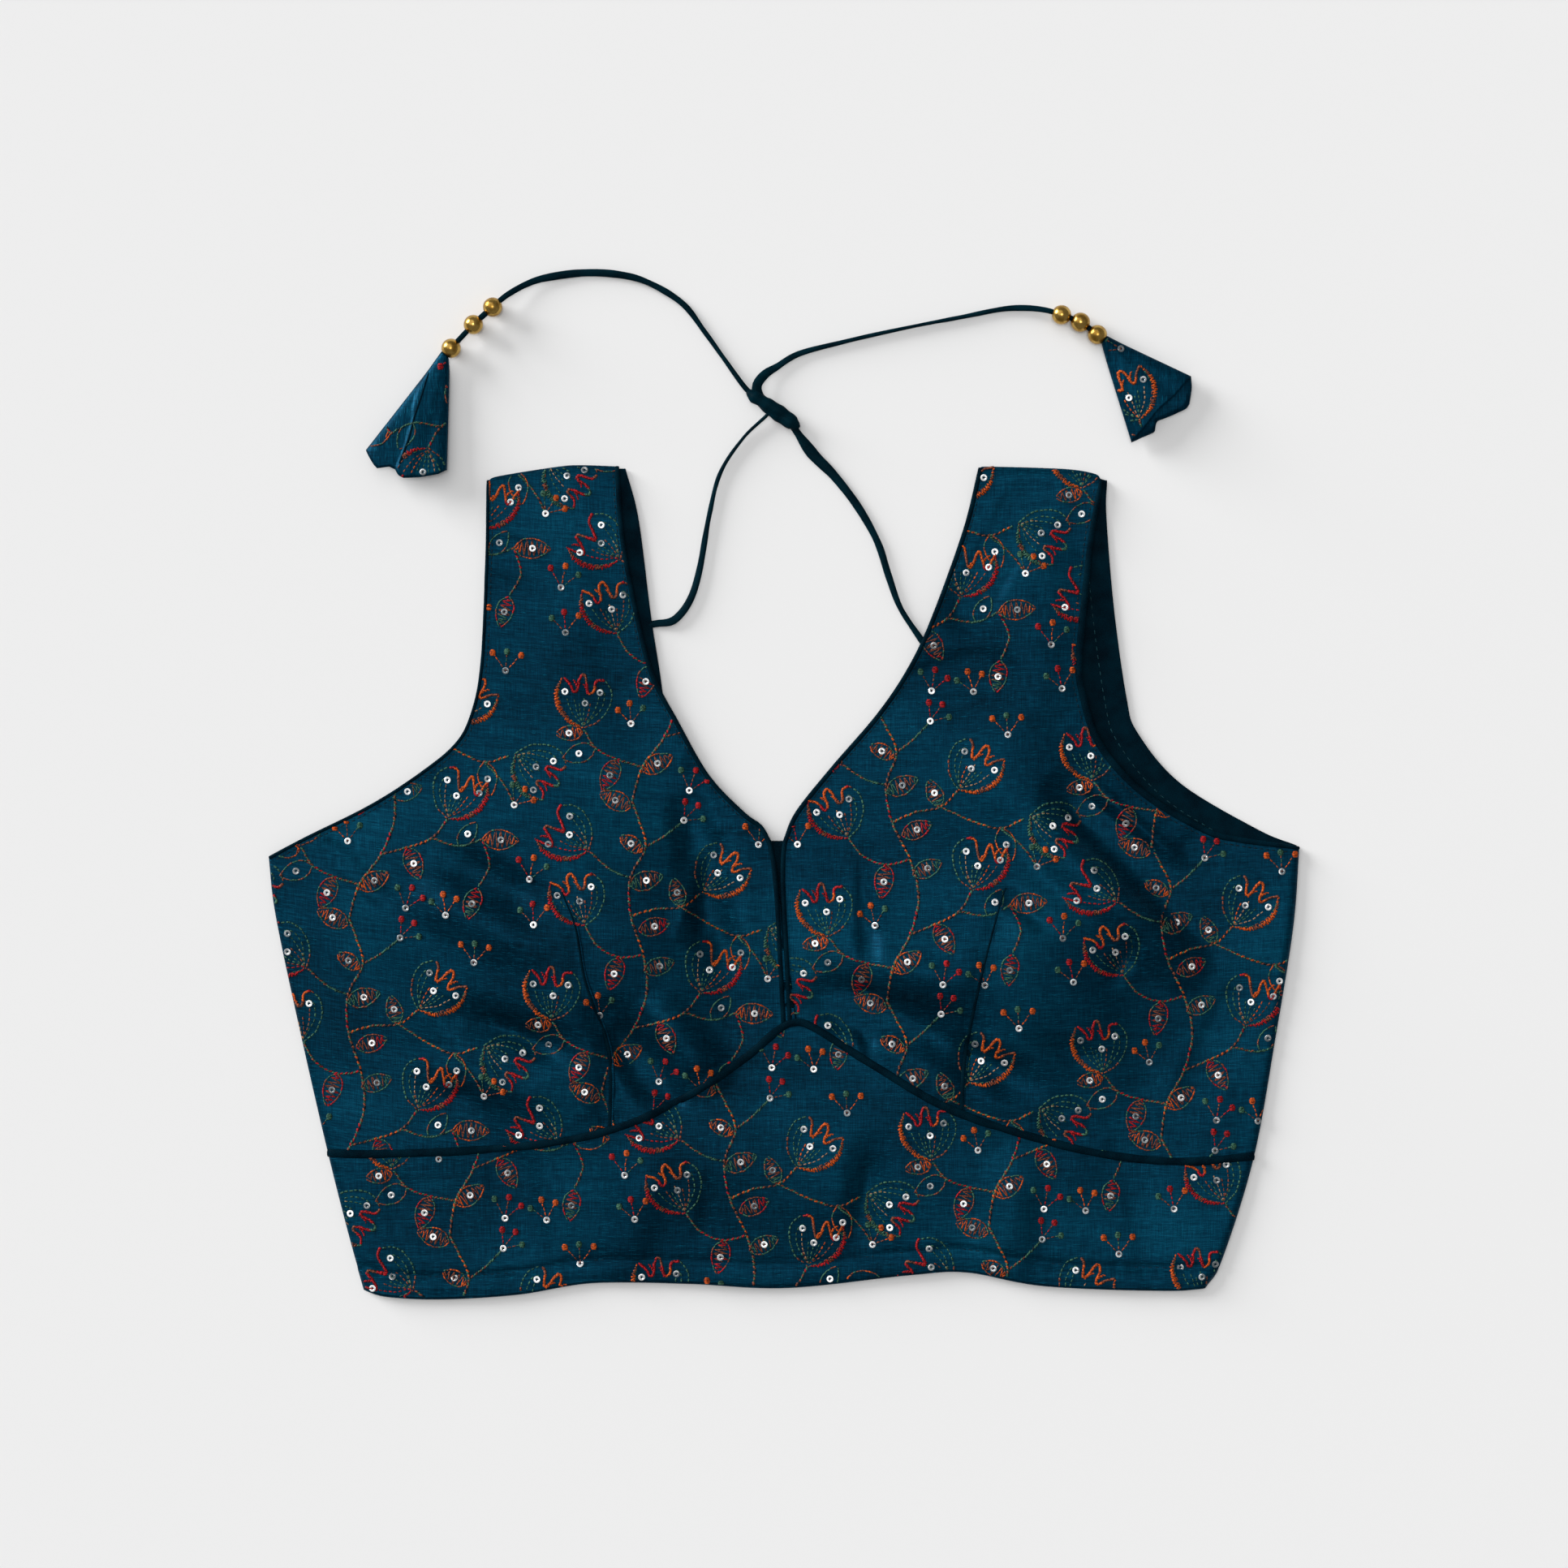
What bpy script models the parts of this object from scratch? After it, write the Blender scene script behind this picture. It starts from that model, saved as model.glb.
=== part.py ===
"""Choli blouse laid flat on a surface, front up, with its two tied dori cords.

Lengths below are in millimetres and become metres where objects are made.
X runs across the blouse, Y from hem to shoulders, Z up from the surface.
The origin is on the surface, in the middle of the blouse without its cords.
Left and right are as seen from above.
"""
import math
from collections import namedtuple

import bpy
from mathutils import Vector

MM = 0.001

# Cloth walls and the levels that they lie at.
BACK_WALL = 1.2
FRONT_WALL = 1.3
SEAM_GAP = 0.3
FRONT_LEVEL = BACK_WALL + SEAM_GAP
PLACKET_WALL = 1.0
LEVEL_EASE = 0.2

# Trims.
EDGE_PIPING = 1.5
BELT_PIPING = 2.4
BACK_PIPING = 1.1
PIPING_LIFT = 0.05

# The front opening below the V neck.
NOTCH_HEIGHT = 17.5
SLIT_FOOT_HEIGHT = -61.0
SLIT_TOP_ACROSS = -3.0
SLIT_FOOT_ACROSS = 1.2
SLIT_TOP_HALF_GAP = 2.5
SLIT_FOOT_HALF_GAP = 0.35
LEFT_PIPING_FOOT = -60.0
RIGHT_PIPING_FOOT = -58.2
PLACKET_HALF_WIDTH = 10.0

# The back lies a little inside the front's sides and hem.
BACK_SIDE_INSET = 1.0
BACK_HEM_INSET = 1.5
BACK_NECK_DEPTH = -10.0
CENTRE_BACK = 1.0

# Cords, knot, beads and tassels.
CORD_WIDTH = 2.3
CORD_LEVEL = 1.25
CORD_STEP = 5.6
BEAD_DIAMETER = 8.4
BEAD_BORE = 3.2
BEAD_LEVEL = 4.4
BEAD_STEPS = 12
KNOT_WIDTH = 6.3
KNOT_HEIGHT = 5.0
KNOT_LEVEL = 2.8
TASSEL_WALL = 1.1
TASSEL_REST = 0.2

# Grid sizes of the panels: columns across, rows below and above the underarm.
FRONT_COLUMNS = 18
FRONT_CUP_ROWS = 10
FRONT_STRAP_ROWS = 16
BACK_COLUMNS = 8
BACK_BODY_ROWS = 6
BACK_STRAP_ROWS = 15
BELT_ROWS = 6

# Outline curves, each a few points (across, up) that a smooth curve runs through.
LEFT_SIDE = [(-180.8, -175.7), (-187.7, -151.0), (-196.4, -116.6), (-208.0, -66.0),
             (-218.8, -15.0), (-221.9, 10.9)]
RIGHT_SIDE = [(181.3, -175.0), (188.7, -162.6), (202.3, -118.7), (211.8, -66.2),
              (219.3, -19.3), (221.9, 15.1)]
HEM = [(-180.8, -175.7), (-170.3, -178.6), (-147.0, -179.6), (-114.0, -177.5), (-82.4, -172.6),
       (-40.6, -172.9), (1.4, -174.7), (53.6, -169.2), (78.8, -168.0), (112.2, -173.9),
       (162.4, -175.9), (181.3, -175.0)]
BELT_SEAM = [(-196.4, -116.8), (-174.5, -117.3), (-124.3, -115.0), (-82.4, -108.9),
             (-49.0, -96.3), (-18.9, -77.4), (-4.0, -65.0), (4.2, -60.6), (13.0, -62.9),
             (36.8, -77.9), (70.4, -97.3), (103.8, -108.9), (137.2, -117.3), (170.8, -120.6),
             (202.3, -118.3)]
LEFT_ARMHOLE = [(-221.9, 10.9), (-206.0, 19.3), (-179.2, 32.6), (-159.1, 45.3), (-142.4, 58.7),
                (-135.0, 72.1), (-130.7, 94.3), (-128.7, 138.0), (-128.1, 172.6)]
RIGHT_ARMHOLE = [(221.9, 15.1), (195.9, 18.2), (180.8, 22.4), (154.0, 38.2), (135.6, 59.2),
                 (127.6, 83.3), (126.9, 97.1), (129.5, 123.9), (132.9, 150.6), (137.2, 172.9)]
LEFT_NECK = [(-5.5, NOTCH_HEIGHT), (-9.5, 24.3), (-17.2, 30.1), (-32.2, 45.9), (-45.6, 69.3),
             (-56.0, 89.6), (-62.7, 115.9), (-68.6, 147.7), (-71.0, 178.7)]
RIGHT_NECK = [(-0.5, NOTCH_HEIGHT), (4.9, 30.0), (20.1, 49.1), (40.2, 72.5), (53.6, 92.6),
              (63.7, 114.4), (77.0, 151.2), (83.7, 178.2)]
LEFT_SHOULDER = [(-128.1, 172.6), (-123.3, 174.5), (-98.4, 178.4), (-87.7, 179.2),
                 (-71.0, 178.7)]
RIGHT_SHOULDER = [(83.7, 178.2), (88.1, 178.7), (120.8, 177.5), (134.3, 175.4), (137.2, 172.9)]
BACK_LEFT_NECK = [(CENTRE_BACK, BACK_NECK_DEPTH), (-22.0, -4.0), (-40.0, 22.0), (-48.0, 50.0),
                  (-53.2, 88.0), (-57.4, 115.0), (-62.7, 156.3), (-68.3, 177.9)]
BACK_RIGHT_NECK = [(CENTRE_BACK, BACK_NECK_DEPTH), (26.0, -2.0), (48.0, 26.0), (60.0, 58.0),
                   (69.0, 92.0), (80.0, 138.0), (89.0, 177.9)]
BACK_RIGHT_ARMHOLE = [(220.9, 15.6), (204.3, 22.4), (170.8, 42.4), (152.4, 64.2),
                      (147.7, 79.1), (142.3, 117.3), (139.0, 157.3), (139.3, 172.7)]
BACK_LEFT_SHOULDER = [(-128.1, 172.0), (-98.4, 177.4), (-68.3, 177.9)]
BACK_RIGHT_SHOULDER = [(89.0, 177.9), (120.8, 176.9), (139.3, 172.7)]

# Broad swells of the front above the back: centre, reach across and up, and rise.
Swell = namedtuple("Swell", "name across up reach_across reach_up rise")
SWELLS = [
    Swell("left cup", -92.0, -22.0, 98.0, 100.0, 12.5),
    Swell("right cup", 94.0, -20.0, 96.0, 100.0, 12.5),
    Swell("midriff", 0.0, -112.0, 170.0, 62.0, 4.5),
    Swell("left strap", -97.0, 105.0, 33.0, 85.0, 2.4),
    Swell("right strap", 104.0, 105.0, 36.0, 85.0, 3.0),
]

# The largest folds: the line that each follows, its half width, and its rise or fall.
Fold = namedtuple("Fold", "name start end half_width rise")
FOLDS = [
    Fold("beside the left dart", (-73.0, -60.0), (-50.0, -92.0), 14.0, -3.0),
    Fold("left cup, inner ridge", (-52.0, -58.0), (-33.0, -82.0), 14.0, 2.0),
    Fold("left cup, upper trough", (-140.0, 8.0), (-108.0, -8.0), 13.0, -2.2),
    Fold("left cup, upper ridge", (-150.0, -8.0), (-112.0, -28.0), 14.0, 1.8),
    Fold("left cup, lower trough", (-136.0, -58.0), (-96.0, -72.0), 13.0, -2.4),
    Fold("left cup, lower ridge", (-150.0, -80.0), (-112.0, -92.0), 12.0, 1.5),
    Fold("left cup, neck trough", (-41.0, 30.0), (-28.0, -30.0), 12.0, -2.0),
    Fold("left cup, seam trough", (-139.0, -88.0), (-130.0, -110.0), 11.0, -1.5),
    Fold("right underarm trough", (122.0, 36.0), (183.0, -20.0), 15.0, -3.5),
    Fold("right underarm ridge", (112.0, 22.0), (170.0, -34.0), 16.0, 2.2),
    Fold("right underarm, short", (177.0, 12.0), (204.0, -9.0), 11.0, -2.0),
    Fold("right side trough", (196.0, -54.0), (177.0, -90.0), 12.0, -2.0),
    Fold("right cup, inner trough", (20.0, -52.0), (72.0, -66.0), 15.0, -2.6),
    Fold("right cup, inner ridge", (24.0, -30.0), (70.0, -44.0), 14.0, 1.8),
    Fold("right cup, lower trough", (72.0, -74.0), (102.0, -86.0), 13.0, -2.2),
    Fold("right strap base", (60.0, 86.0), (90.0, 91.0), 13.0, -1.6),
    Fold("right strap diagonal", (107.0, 165.0), (80.0, 117.0), 13.0, -1.6),
    Fold("left strap crease", (-127.0, 146.0), (-108.0, 132.0), 11.0, -1.2),
    Fold("belt, left trough", (-118.0, -122.0), (-112.0, -165.0), 14.0, -1.4),
    Fold("belt, left ridge", (-60.0, -125.0), (-70.0, -163.0), 16.0, 1.0),
    Fold("belt, middle trough", (38.0, -118.0), (34.0, -152.0), 13.0, -1.2),
    Fold("belt, right ridge", (100.0, -127.0), (96.0, -163.0), 16.0, 1.0),
]

# Places where the front is held up by what lies under it.
Lift = namedtuple("Lift", "name start end core fade rise")
LIFTS = [
    Lift("over the placket", (SLIT_TOP_ACROSS, NOTCH_HEIGHT), (SLIT_FOOT_ACROSS, SLIT_FOOT_HEIGHT),
         12.0, 26.0, 1.5),
    Lift("over the right cord", (57.0, 107.5), (70.0, 88.0), 5.0, 20.0, 1.6),
]

# Cord routes (across, up), from the back neck edge to the knot and on to the tassel.
# A point with a third number is lifted to that level, and the others lie on the surface.
RIGHT_CORD_LOWER = [(66.3, 93.3), (59.5, 103.6), (50.3, 117.6), (45.2, 131.3), (40.3, 146.3),
                    (31.9, 161.4), (21.7, 174.7), (11.9, 184.8, 1.5), (6.9, 195.1, 2.6)]
LEFT_CORD_LOWER = [(-54.6, 111.0), (-47.3, 112.7), (-40.6, 121.1), (-36.4, 134.4),
                   (-32.2, 157.9), (-27.3, 176.4), (-17.2, 191.5, 1.5), (-6.7, 200.2, 2.5)]
LEFT_CORD_UPPER = [(-16.2, 212.0, 2.6), (-25.6, 224.9, 1.4), (-34.0, 236.6), (-43.9, 249.2),
                   (-59.0, 258.3), (-72.5, 261.7), (-87.5, 262.2), (-102.6, 260.1, 1.5),
                   (-111.0, 257.2, 2.4), (-119.4, 252.2, 4.0), (-125.3, 247.1, BEAD_LEVEL),
                   (-133.6, 239.6, BEAD_LEVEL), (-143.2, 229.4, BEAD_LEVEL),
                   (-145.7, 226.5, BEAD_LEVEL)]
RIGHT_CORD_UPPER = [(-11.5, 212.4, 2.6), (-3.3, 221.6, 1.5), (6.7, 227.5), (25.2, 232.4),
                    (42.0, 236.3), (60.2, 240.1), (77.0, 243.3), (93.8, 246.6),
                    (104.0, 247.0, 2.2), (112.5, 245.9, 4.0), (119.4, 243.8, BEAD_LEVEL),
                    (127.5, 240.6, BEAD_LEVEL), (134.8, 235.3, BEAD_LEVEL),
                    (137.8, 232.95, BEAD_LEVEL)]
LEFT_BEADS = [(-125.3, 247.1), (-133.6, 239.6), (-143.2, 229.4)]
RIGHT_BEADS = [(119.4, 243.8), (127.5, 240.6), (134.8, 235.3)]
KNOT_ENDS = [(-15.6, 211.5), (6.4, 195.8)]

# Tassels: how far each layer's rim reaches beyond the line between the two edge tips.
Rim = namedtuple("Rim", "across over under")
Tassel = namedtuple("Tassel", "name cord_end left_tip right_tip rim valley height")
LEFT_RIM = [Rim(0.0, 1.0, 1.0), Rim(0.25, 1.14, 1.08), Rim(0.5, 1.16, 1.1),
            Rim(0.75, 1.12, 1.1), Rim(1.0, 1.0, 1.0)]
RIGHT_RIM = [Rim(0.0, 1.0, 1.0), Rim(0.2, 0.99, 1.06), Rim(0.4, 0.98, 1.15),
             Rim(0.75, 0.98, 1.2), Rim(0.9, 1.0, 1.12), Rim(1.0, 1.0, 1.0)]
TASSELS = [
    Tassel("tassel_left", LEFT_CORD_UPPER[-3:], (-179.8, 185.6), (-144.9, 177.0),
           LEFT_RIM, 0.42, 10.5),
    Tassel("tassel_right", RIGHT_CORD_UPPER[-3:], (149.5, 188.9), (175.2, 217.4),
           RIGHT_RIM, 0.6, 10.5),
]


def smooth_curve(points, per_span=10):
    """Return a Catmull-Rom curve through points of any number of coordinates."""
    knots = [Vector(point) for point in points]
    knots = [2 * knots[0] - knots[1]] + knots + [2 * knots[-1] - knots[-2]]
    curve = []
    for a, b, c, d in zip(knots, knots[1:], knots[2:], knots[3:]):
        for step in range(per_span):
            t = step / per_span
            curve.append(0.5 * (2 * b + (c - a) * t + (2 * a - 5 * b + 4 * c - d) * t ** 2
                                + (3 * b - a - 3 * c + d) * t ** 3))
    curve.append(knots[-2])
    return curve


def resampled(curve, count):
    """Return count + 1 points evenly spaced along a curve."""
    lengths = [0.0]
    for a, b in zip(curve, curve[1:]):
        lengths.append(lengths[-1] + (b - a).length)
    result = []
    span = 0
    for step in range(count + 1):
        wanted = lengths[-1] * step / count
        while span < len(curve) - 2 and lengths[span + 1] < wanted:
            span += 1
        part = (wanted - lengths[span]) / (lengths[span + 1] - lengths[span])
        result.append(curve[span].lerp(curve[span + 1], part))
    return result


def curve_length(curve):
    return sum((b - a).length for a, b in zip(curve, curve[1:]))


def moved_aside(curve, distance):
    """Move a plane curve to the left of its own direction."""
    result = []
    for index, point in enumerate(curve):
        before = curve[max(index - 1, 0)]
        after = curve[min(index + 1, len(curve) - 1)]
        direction = (after - before).normalized()
        result.append(point + distance * Vector((-direction.y, direction.x)))
    return result


def between_heights(curve, low, high):
    """Cut an upward curve to the stretch between two heights."""
    ends = []
    for height in (low, high):
        span = next(index for index, b in enumerate(curve[1:]) if height <= b.y)
        a = curve[span]
        b = curve[span + 1]
        ends.append(a.lerp(b, (height - a.y) / (b.y - a.y)))
    return [ends[0]] + [point for point in curve if low < point.y < high] + [ends[1]]


def meeting_height(curve, start, end):
    """Height at which the straight line from start to end crosses an upward curve."""
    line = end - start
    sides = [line.cross(point - start) for point in curve]
    for index in range(len(curve) - 1):
        if sides[index] * sides[index + 1] <= 0:
            part = sides[index] / (sides[index] - sides[index + 1])
            return curve[index].lerp(curve[index + 1], part).y
    return start.y


def patch(left, right, bottom, top):
    """Fill four edges of matching point counts with rows from the left edge to the right."""
    rows = len(left) - 1
    columns = len(bottom) - 1
    grid = []
    for row in range(rows + 1):
        t = row / rows
        line = []
        for column in range(columns + 1):
            u = column / columns
            sag = bottom[column] - bottom[0].lerp(bottom[-1], u)
            arch = top[column] - top[0].lerp(top[-1], u)
            line.append(left[row].lerp(right[row], u) + (1 - t) * sag + t * arch)
        grid.append(line)
    return grid


def distance_to_line(point, start, end):
    """Return the distance from a stretch of line, and how far along it the foot lies."""
    start = Vector(start)
    run = Vector(end) - start
    along = max(0.0, min(1.0, (point - start).dot(run) / run.length_squared))
    return (point - start - along * run).length, along


def rounded(ratio):
    """A soft hump: 1 at the middle, 0 from a ratio of 1 outwards."""
    return (1 - ratio ** 2) ** 2 if ratio < 1 else 0.0


def front_level(point):
    """Height of the front cloth's underside above the surface."""
    rise = 0.0
    for swell in SWELLS:
        ratio = math.hypot((point.x - swell.across) / swell.reach_across,
                           (point.y - swell.up) / swell.reach_up)
        rise += swell.rise * rounded(ratio)
    for fold in FOLDS:
        distance, along = distance_to_line(point, fold.start, fold.end)
        rise += fold.rise * rounded(distance / fold.half_width) * (1 - (2 * along - 1) ** 4 / 2)
    level = FRONT_LEVEL + (rise + math.hypot(rise, LEVEL_EASE) - LEVEL_EASE) / 2
    for lift in LIFTS:
        distance, along = distance_to_line(point, lift.start, lift.end)
        level += lift.rise * rounded(max(0.0, distance - lift.core) / (lift.fade - lift.core))
    return level


def back_level(point):
    return 0.0


def in_metres(point, level):
    return Vector((point.x, point.y, level)) * MM


def make_material(name, colour, roughness, metallic=0.0):
    material = bpy.data.materials.new(name)
    material.use_nodes = True
    shader = material.node_tree.nodes["Principled BSDF"]
    shader.inputs["Base Color"].default_value = (*colour, 1.0)
    shader.inputs["Roughness"].default_value = roughness
    shader.inputs["Metallic"].default_value = metallic
    return material


def add_object(name, data, material):
    """Put an object in the blouse's collection with its own material."""
    data.materials.append(material)
    thing = bpy.data.objects.new(name, data)
    blouse.objects.link(thing)
    return thing


def add_wall(name, grid, level, thickness, material):
    """Make a cloth panel: an open surface through the grid, thickened upwards."""
    columns = len(grid[0])
    points = [in_metres(point, level(point)) for line in grid for point in line]
    faces = []
    for row in range(len(grid) - 1):
        for column in range(columns - 1):
            corner = row * columns + column
            faces.append((corner, corner + 1, corner + columns + 1, corner + columns))
    mesh = bpy.data.meshes.new(name)
    mesh.from_pydata(points, [], faces)
    mesh.shade_smooth()
    panel = add_object(name, mesh, material)
    wall = panel.modifiers.new("Wall", "SOLIDIFY")
    wall.thickness = thickness * MM
    wall.offset = 1.0
    wall.use_even_offset = True
    return panel


def add_tube(name, points, diameter, sides_level, material):
    """Make a round tube along points in metres, closed at both ends."""
    curve = bpy.data.curves.new(name, "CURVE")
    curve.dimensions = "3D"
    curve.bevel_depth = diameter / 2 * MM
    curve.bevel_resolution = sides_level
    curve.use_fill_caps = True
    spline = curve.splines.new("POLY")
    spline.points.add(len(points) - 1)
    for place, point in zip(spline.points, points):
        place.co = (*point, 1.0)
    return add_object(name, curve, material)


def add_piping(name, edge, diameter, level, material):
    """Lay a piping along points in the plane, just above the cloth's underside."""
    centre = diameter / 2 + PIPING_LIFT
    points = [in_metres(point, level(point) + centre) for point in edge]
    return add_tube(name, points, diameter, 1, material)


def slit_edge(side):
    """Edge of the front slit from foot to notch: side -1 is the left one, 1 the right."""
    foot = LEFT_PIPING_FOOT if side < 0 else RIGHT_PIPING_FOOT
    points = []
    for step in range(FRONT_CUP_ROWS + 1):
        part = step / FRONT_CUP_ROWS
        across = SLIT_FOOT_ACROSS + (SLIT_TOP_ACROSS - SLIT_FOOT_ACROSS) * part
        half_gap = SLIT_FOOT_HALF_GAP + (SLIT_TOP_HALF_GAP - SLIT_FOOT_HALF_GAP) * part ** 3
        height = foot + (NOTCH_HEIGHT - foot) * part
        points.append(Vector((across + side * half_gap, height)))
    return points


def front_neck(side):
    """The slit's edge and the neckline above it, as one run of points from the belt up."""
    neckline = smooth_curve(LEFT_NECK if side < 0 else RIGHT_NECK)
    return slit_edge(side) + resampled(neckline, FRONT_STRAP_ROWS)[1:]


def front_armhole(side):
    armhole = smooth_curve(LEFT_ARMHOLE if side < 0 else RIGHT_ARMHOLE)
    return resampled(armhole, FRONT_STRAP_ROWS)


def belt_seam():
    """The belt seam's points from left to right, with one at its peak."""
    curve = smooth_curve(BELT_SEAM)
    peak = max(range(len(curve)), key=lambda index: curve[index].y)
    left = resampled(curve[:peak + 1], FRONT_COLUMNS)
    return left + resampled(curve[peak:], FRONT_COLUMNS)[1:]


def outer_edge(side, low, armhole, rows):
    """Side edge from a height up to the place where the armhole's first line meets it."""
    curve = smooth_curve(LEFT_SIDE if side < 0 else RIGHT_SIDE)
    return resampled(between_heights(curve, low, meeting_height(curve, *armhole[:2])), rows)


def add_front(name, side, material):
    """Make one front, a cup and its strap: side is -1 for the left and 1 for the right."""
    inset = EDGE_PIPING + SEAM_GAP
    neck = moved_aside(front_neck(side), -side * inset)
    slit = neck[:FRONT_CUP_ROWS + 1]
    neckline = neck[FRONT_CUP_ROWS:]
    armhole = moved_aside(front_armhole(side), side * inset)
    seam = moved_aside(belt_seam(), BELT_PIPING / 2 + SEAM_GAP)
    bottom = seam[:FRONT_COLUMNS + 1] if side < 0 else seam[FRONT_COLUMNS:]
    outer_foot = bottom[0] if side < 0 else bottom[-1]
    outer = outer_edge(side, outer_foot.y, armhole, FRONT_CUP_ROWS)
    armhole[0] = outer[-1]
    shoulder = resampled(smooth_curve(LEFT_SHOULDER if side < 0 else RIGHT_SHOULDER),
                         FRONT_COLUMNS)
    if side < 0:
        edges = (outer, slit, armhole, neckline)
    else:
        edges = (slit, outer, neckline, armhole)
    lower_left, lower_right, upper_left, upper_right = edges
    bottom[0] = lower_left[0]
    bottom[-1] = lower_right[0]
    underarm = resampled([lower_left[-1], lower_right[-1]], FRONT_COLUMNS)
    cup = patch(lower_left, lower_right, bottom, underarm)
    strap = patch(upper_left, upper_right, underarm, shoulder)
    return add_wall(name, cup + strap[1:], front_level, FRONT_WALL, material)


def add_belt(material):
    """Make the belt between the hem and the curved seam."""
    top = moved_aside(belt_seam(), -BELT_PIPING / 2 - SEAM_GAP)
    left = smooth_curve(LEFT_SIDE)
    left = resampled(between_heights(left, left[0].y, top[0].y), BELT_ROWS)
    right = smooth_curve(RIGHT_SIDE)
    right = resampled(between_heights(right, right[0].y, top[-1].y), BELT_ROWS)
    top[0] = left[-1]
    top[-1] = right[-1]
    hem = resampled(smooth_curve(HEM), len(top) - 1)
    grid = patch(left, right, hem, top)
    return add_wall("front_belt", grid, front_level, FRONT_WALL, material)


def back_neck(side):
    neck = smooth_curve(BACK_LEFT_NECK if side < 0 else BACK_RIGHT_NECK)
    return resampled(neck, BACK_STRAP_ROWS)


def back_armhole(side):
    armhole = smooth_curve(LEFT_ARMHOLE if side < 0 else BACK_RIGHT_ARMHOLE)
    return resampled(armhole, BACK_STRAP_ROWS)


def add_back(name, side, shoulder, material):
    """Make one back half, which lies flat on the surface."""
    inset = BACK_PIPING + SEAM_GAP
    centre = CENTRE_BACK + side * SEAM_GAP / 2
    hem = [point + Vector((0.0, BACK_HEM_INSET)) for point in smooth_curve(HEM)]
    hem = [point for point in hem if side * (point.x - centre) > 0]
    hem[0 if side > 0 else -1].x = centre
    hem = resampled(hem, BACK_COLUMNS)
    middle_foot = hem[0] if side > 0 else hem[-1]
    neck = moved_aside(back_neck(side), -side * inset)
    neck[0] = Vector((centre, BACK_NECK_DEPTH - inset))
    centre_line = resampled([middle_foot, neck[0]], BACK_BODY_ROWS)
    armhole = moved_aside(back_armhole(side), side * inset)
    outer = outer_edge(side, (hem[-1] if side > 0 else hem[0]).y, armhole, BACK_BODY_ROWS)
    for point in outer:
        point.x -= side * BACK_SIDE_INSET
    armhole[0] = outer[-1]
    top = resampled(smooth_curve(shoulder), BACK_COLUMNS)
    if side < 0:
        edges = (outer, centre_line, armhole, neck)
    else:
        edges = (centre_line, outer, neck, armhole)
    lower_left, lower_right, upper_left, upper_right = edges
    hem[0] = lower_left[0]
    hem[-1] = lower_right[0]
    underarm = resampled([lower_left[-1], lower_right[-1]], BACK_COLUMNS)
    body = patch(lower_left, lower_right, hem, underarm)
    strap = patch(upper_left, upper_right, underarm, top)
    return add_wall(name, body + strap[1:], back_level, BACK_WALL, material)


def add_placket(material):
    """Make the strip of cloth that closes the slit from behind."""
    rows = 8
    columns = 4
    reach = Vector((PLACKET_HALF_WIDTH, 0.0))
    top = Vector((SLIT_TOP_ACROSS, NOTCH_HEIGHT - SEAM_GAP))
    foot = Vector((SLIT_FOOT_ACROSS, SLIT_FOOT_HEIGHT))
    left = resampled([foot - reach, top - reach], rows)
    right = resampled([foot + reach, top + reach], rows)
    bottom = resampled([left[0], right[0]], columns)
    lid = resampled([left[-1], right[-1]], columns)
    return add_wall("slit_placket", patch(left, right, bottom, lid),
                    lambda point: FRONT_LEVEL, PLACKET_WALL, material)


def add_front_pipings(material):
    """Lay the pipings along the neck, the slit, the armholes and the belt seam."""
    half = EDGE_PIPING / 2
    for name, side in (("left", -1), ("right", 1)):
        neck = moved_aside(front_neck(side), -side * half)
        add_piping(f"neck_piping_{name}", neck, EDGE_PIPING, front_level, material)
        armhole = moved_aside(front_armhole(side), side * half)
        add_piping(f"armhole_piping_{name}", armhole, EDGE_PIPING, front_level, material)
    add_piping("belt_piping", belt_seam(), BELT_PIPING, front_level, material)


def add_back_pipings(material):
    """Lay the pipings along the back's neck and armholes."""
    half = BACK_PIPING / 2
    for name, side in (("left", -1), ("right", 1)):
        neck = moved_aside(back_neck(side), -side * half)
        neck[0].x += side * BACK_PIPING / 2
        add_piping(f"back_neck_piping_{name}", neck, BACK_PIPING, back_level, material)
        armhole = moved_aside(back_armhole(side), side * half)
        add_piping(f"back_armhole_piping_{name}", armhole, BACK_PIPING, back_level, material)


def cord_curve(route):
    """Smooth curve through a cord's route, with the points that lie flat at the cord's level."""
    return smooth_curve([point if len(point) == 3 else (*point, CORD_LEVEL) for point in route])


def add_cord(name, route, material):
    """Make one stretch of cord along its own route."""
    curve = cord_curve(route)
    count = round(curve_length(curve) / CORD_STEP)
    points = [point * MM for point in resampled(curve, count)]
    return add_tube(name, points, CORD_WIDTH, 2, material)


def add_bead(name, place, direction, material):
    """Turn a round bead with a bore about its own X axis."""
    radius = BEAD_DIAMETER / 2
    bore = BEAD_BORE / 2
    start = math.asin(bore / radius)
    steps = 8
    profile = []
    for step in range(steps + 1):
        angle = start + (math.pi - 2 * start) * step / steps
        profile.append(Vector((-math.cos(angle) * radius, math.sin(angle) * radius, 0.0)) * MM)
    edges = [(step, (step + 1) % len(profile)) for step in range(len(profile))]
    mesh = bpy.data.meshes.new(name)
    mesh.from_pydata(profile, edges, [])
    bead = add_object(name, mesh, material)
    bead.location = Vector((place[0], place[1], BEAD_LEVEL)) * MM
    bead.rotation_euler.z = math.atan2(direction.y, direction.x)
    turn = bead.modifiers.new("Turn", "SCREW")
    turn.axis = "X"
    turn.steps = BEAD_STEPS
    turn.render_steps = BEAD_STEPS
    turn.use_merge_vertices = True
    turn.merge_threshold = 0.00001
    turn.use_normal_calculate = True
    return bead


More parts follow.
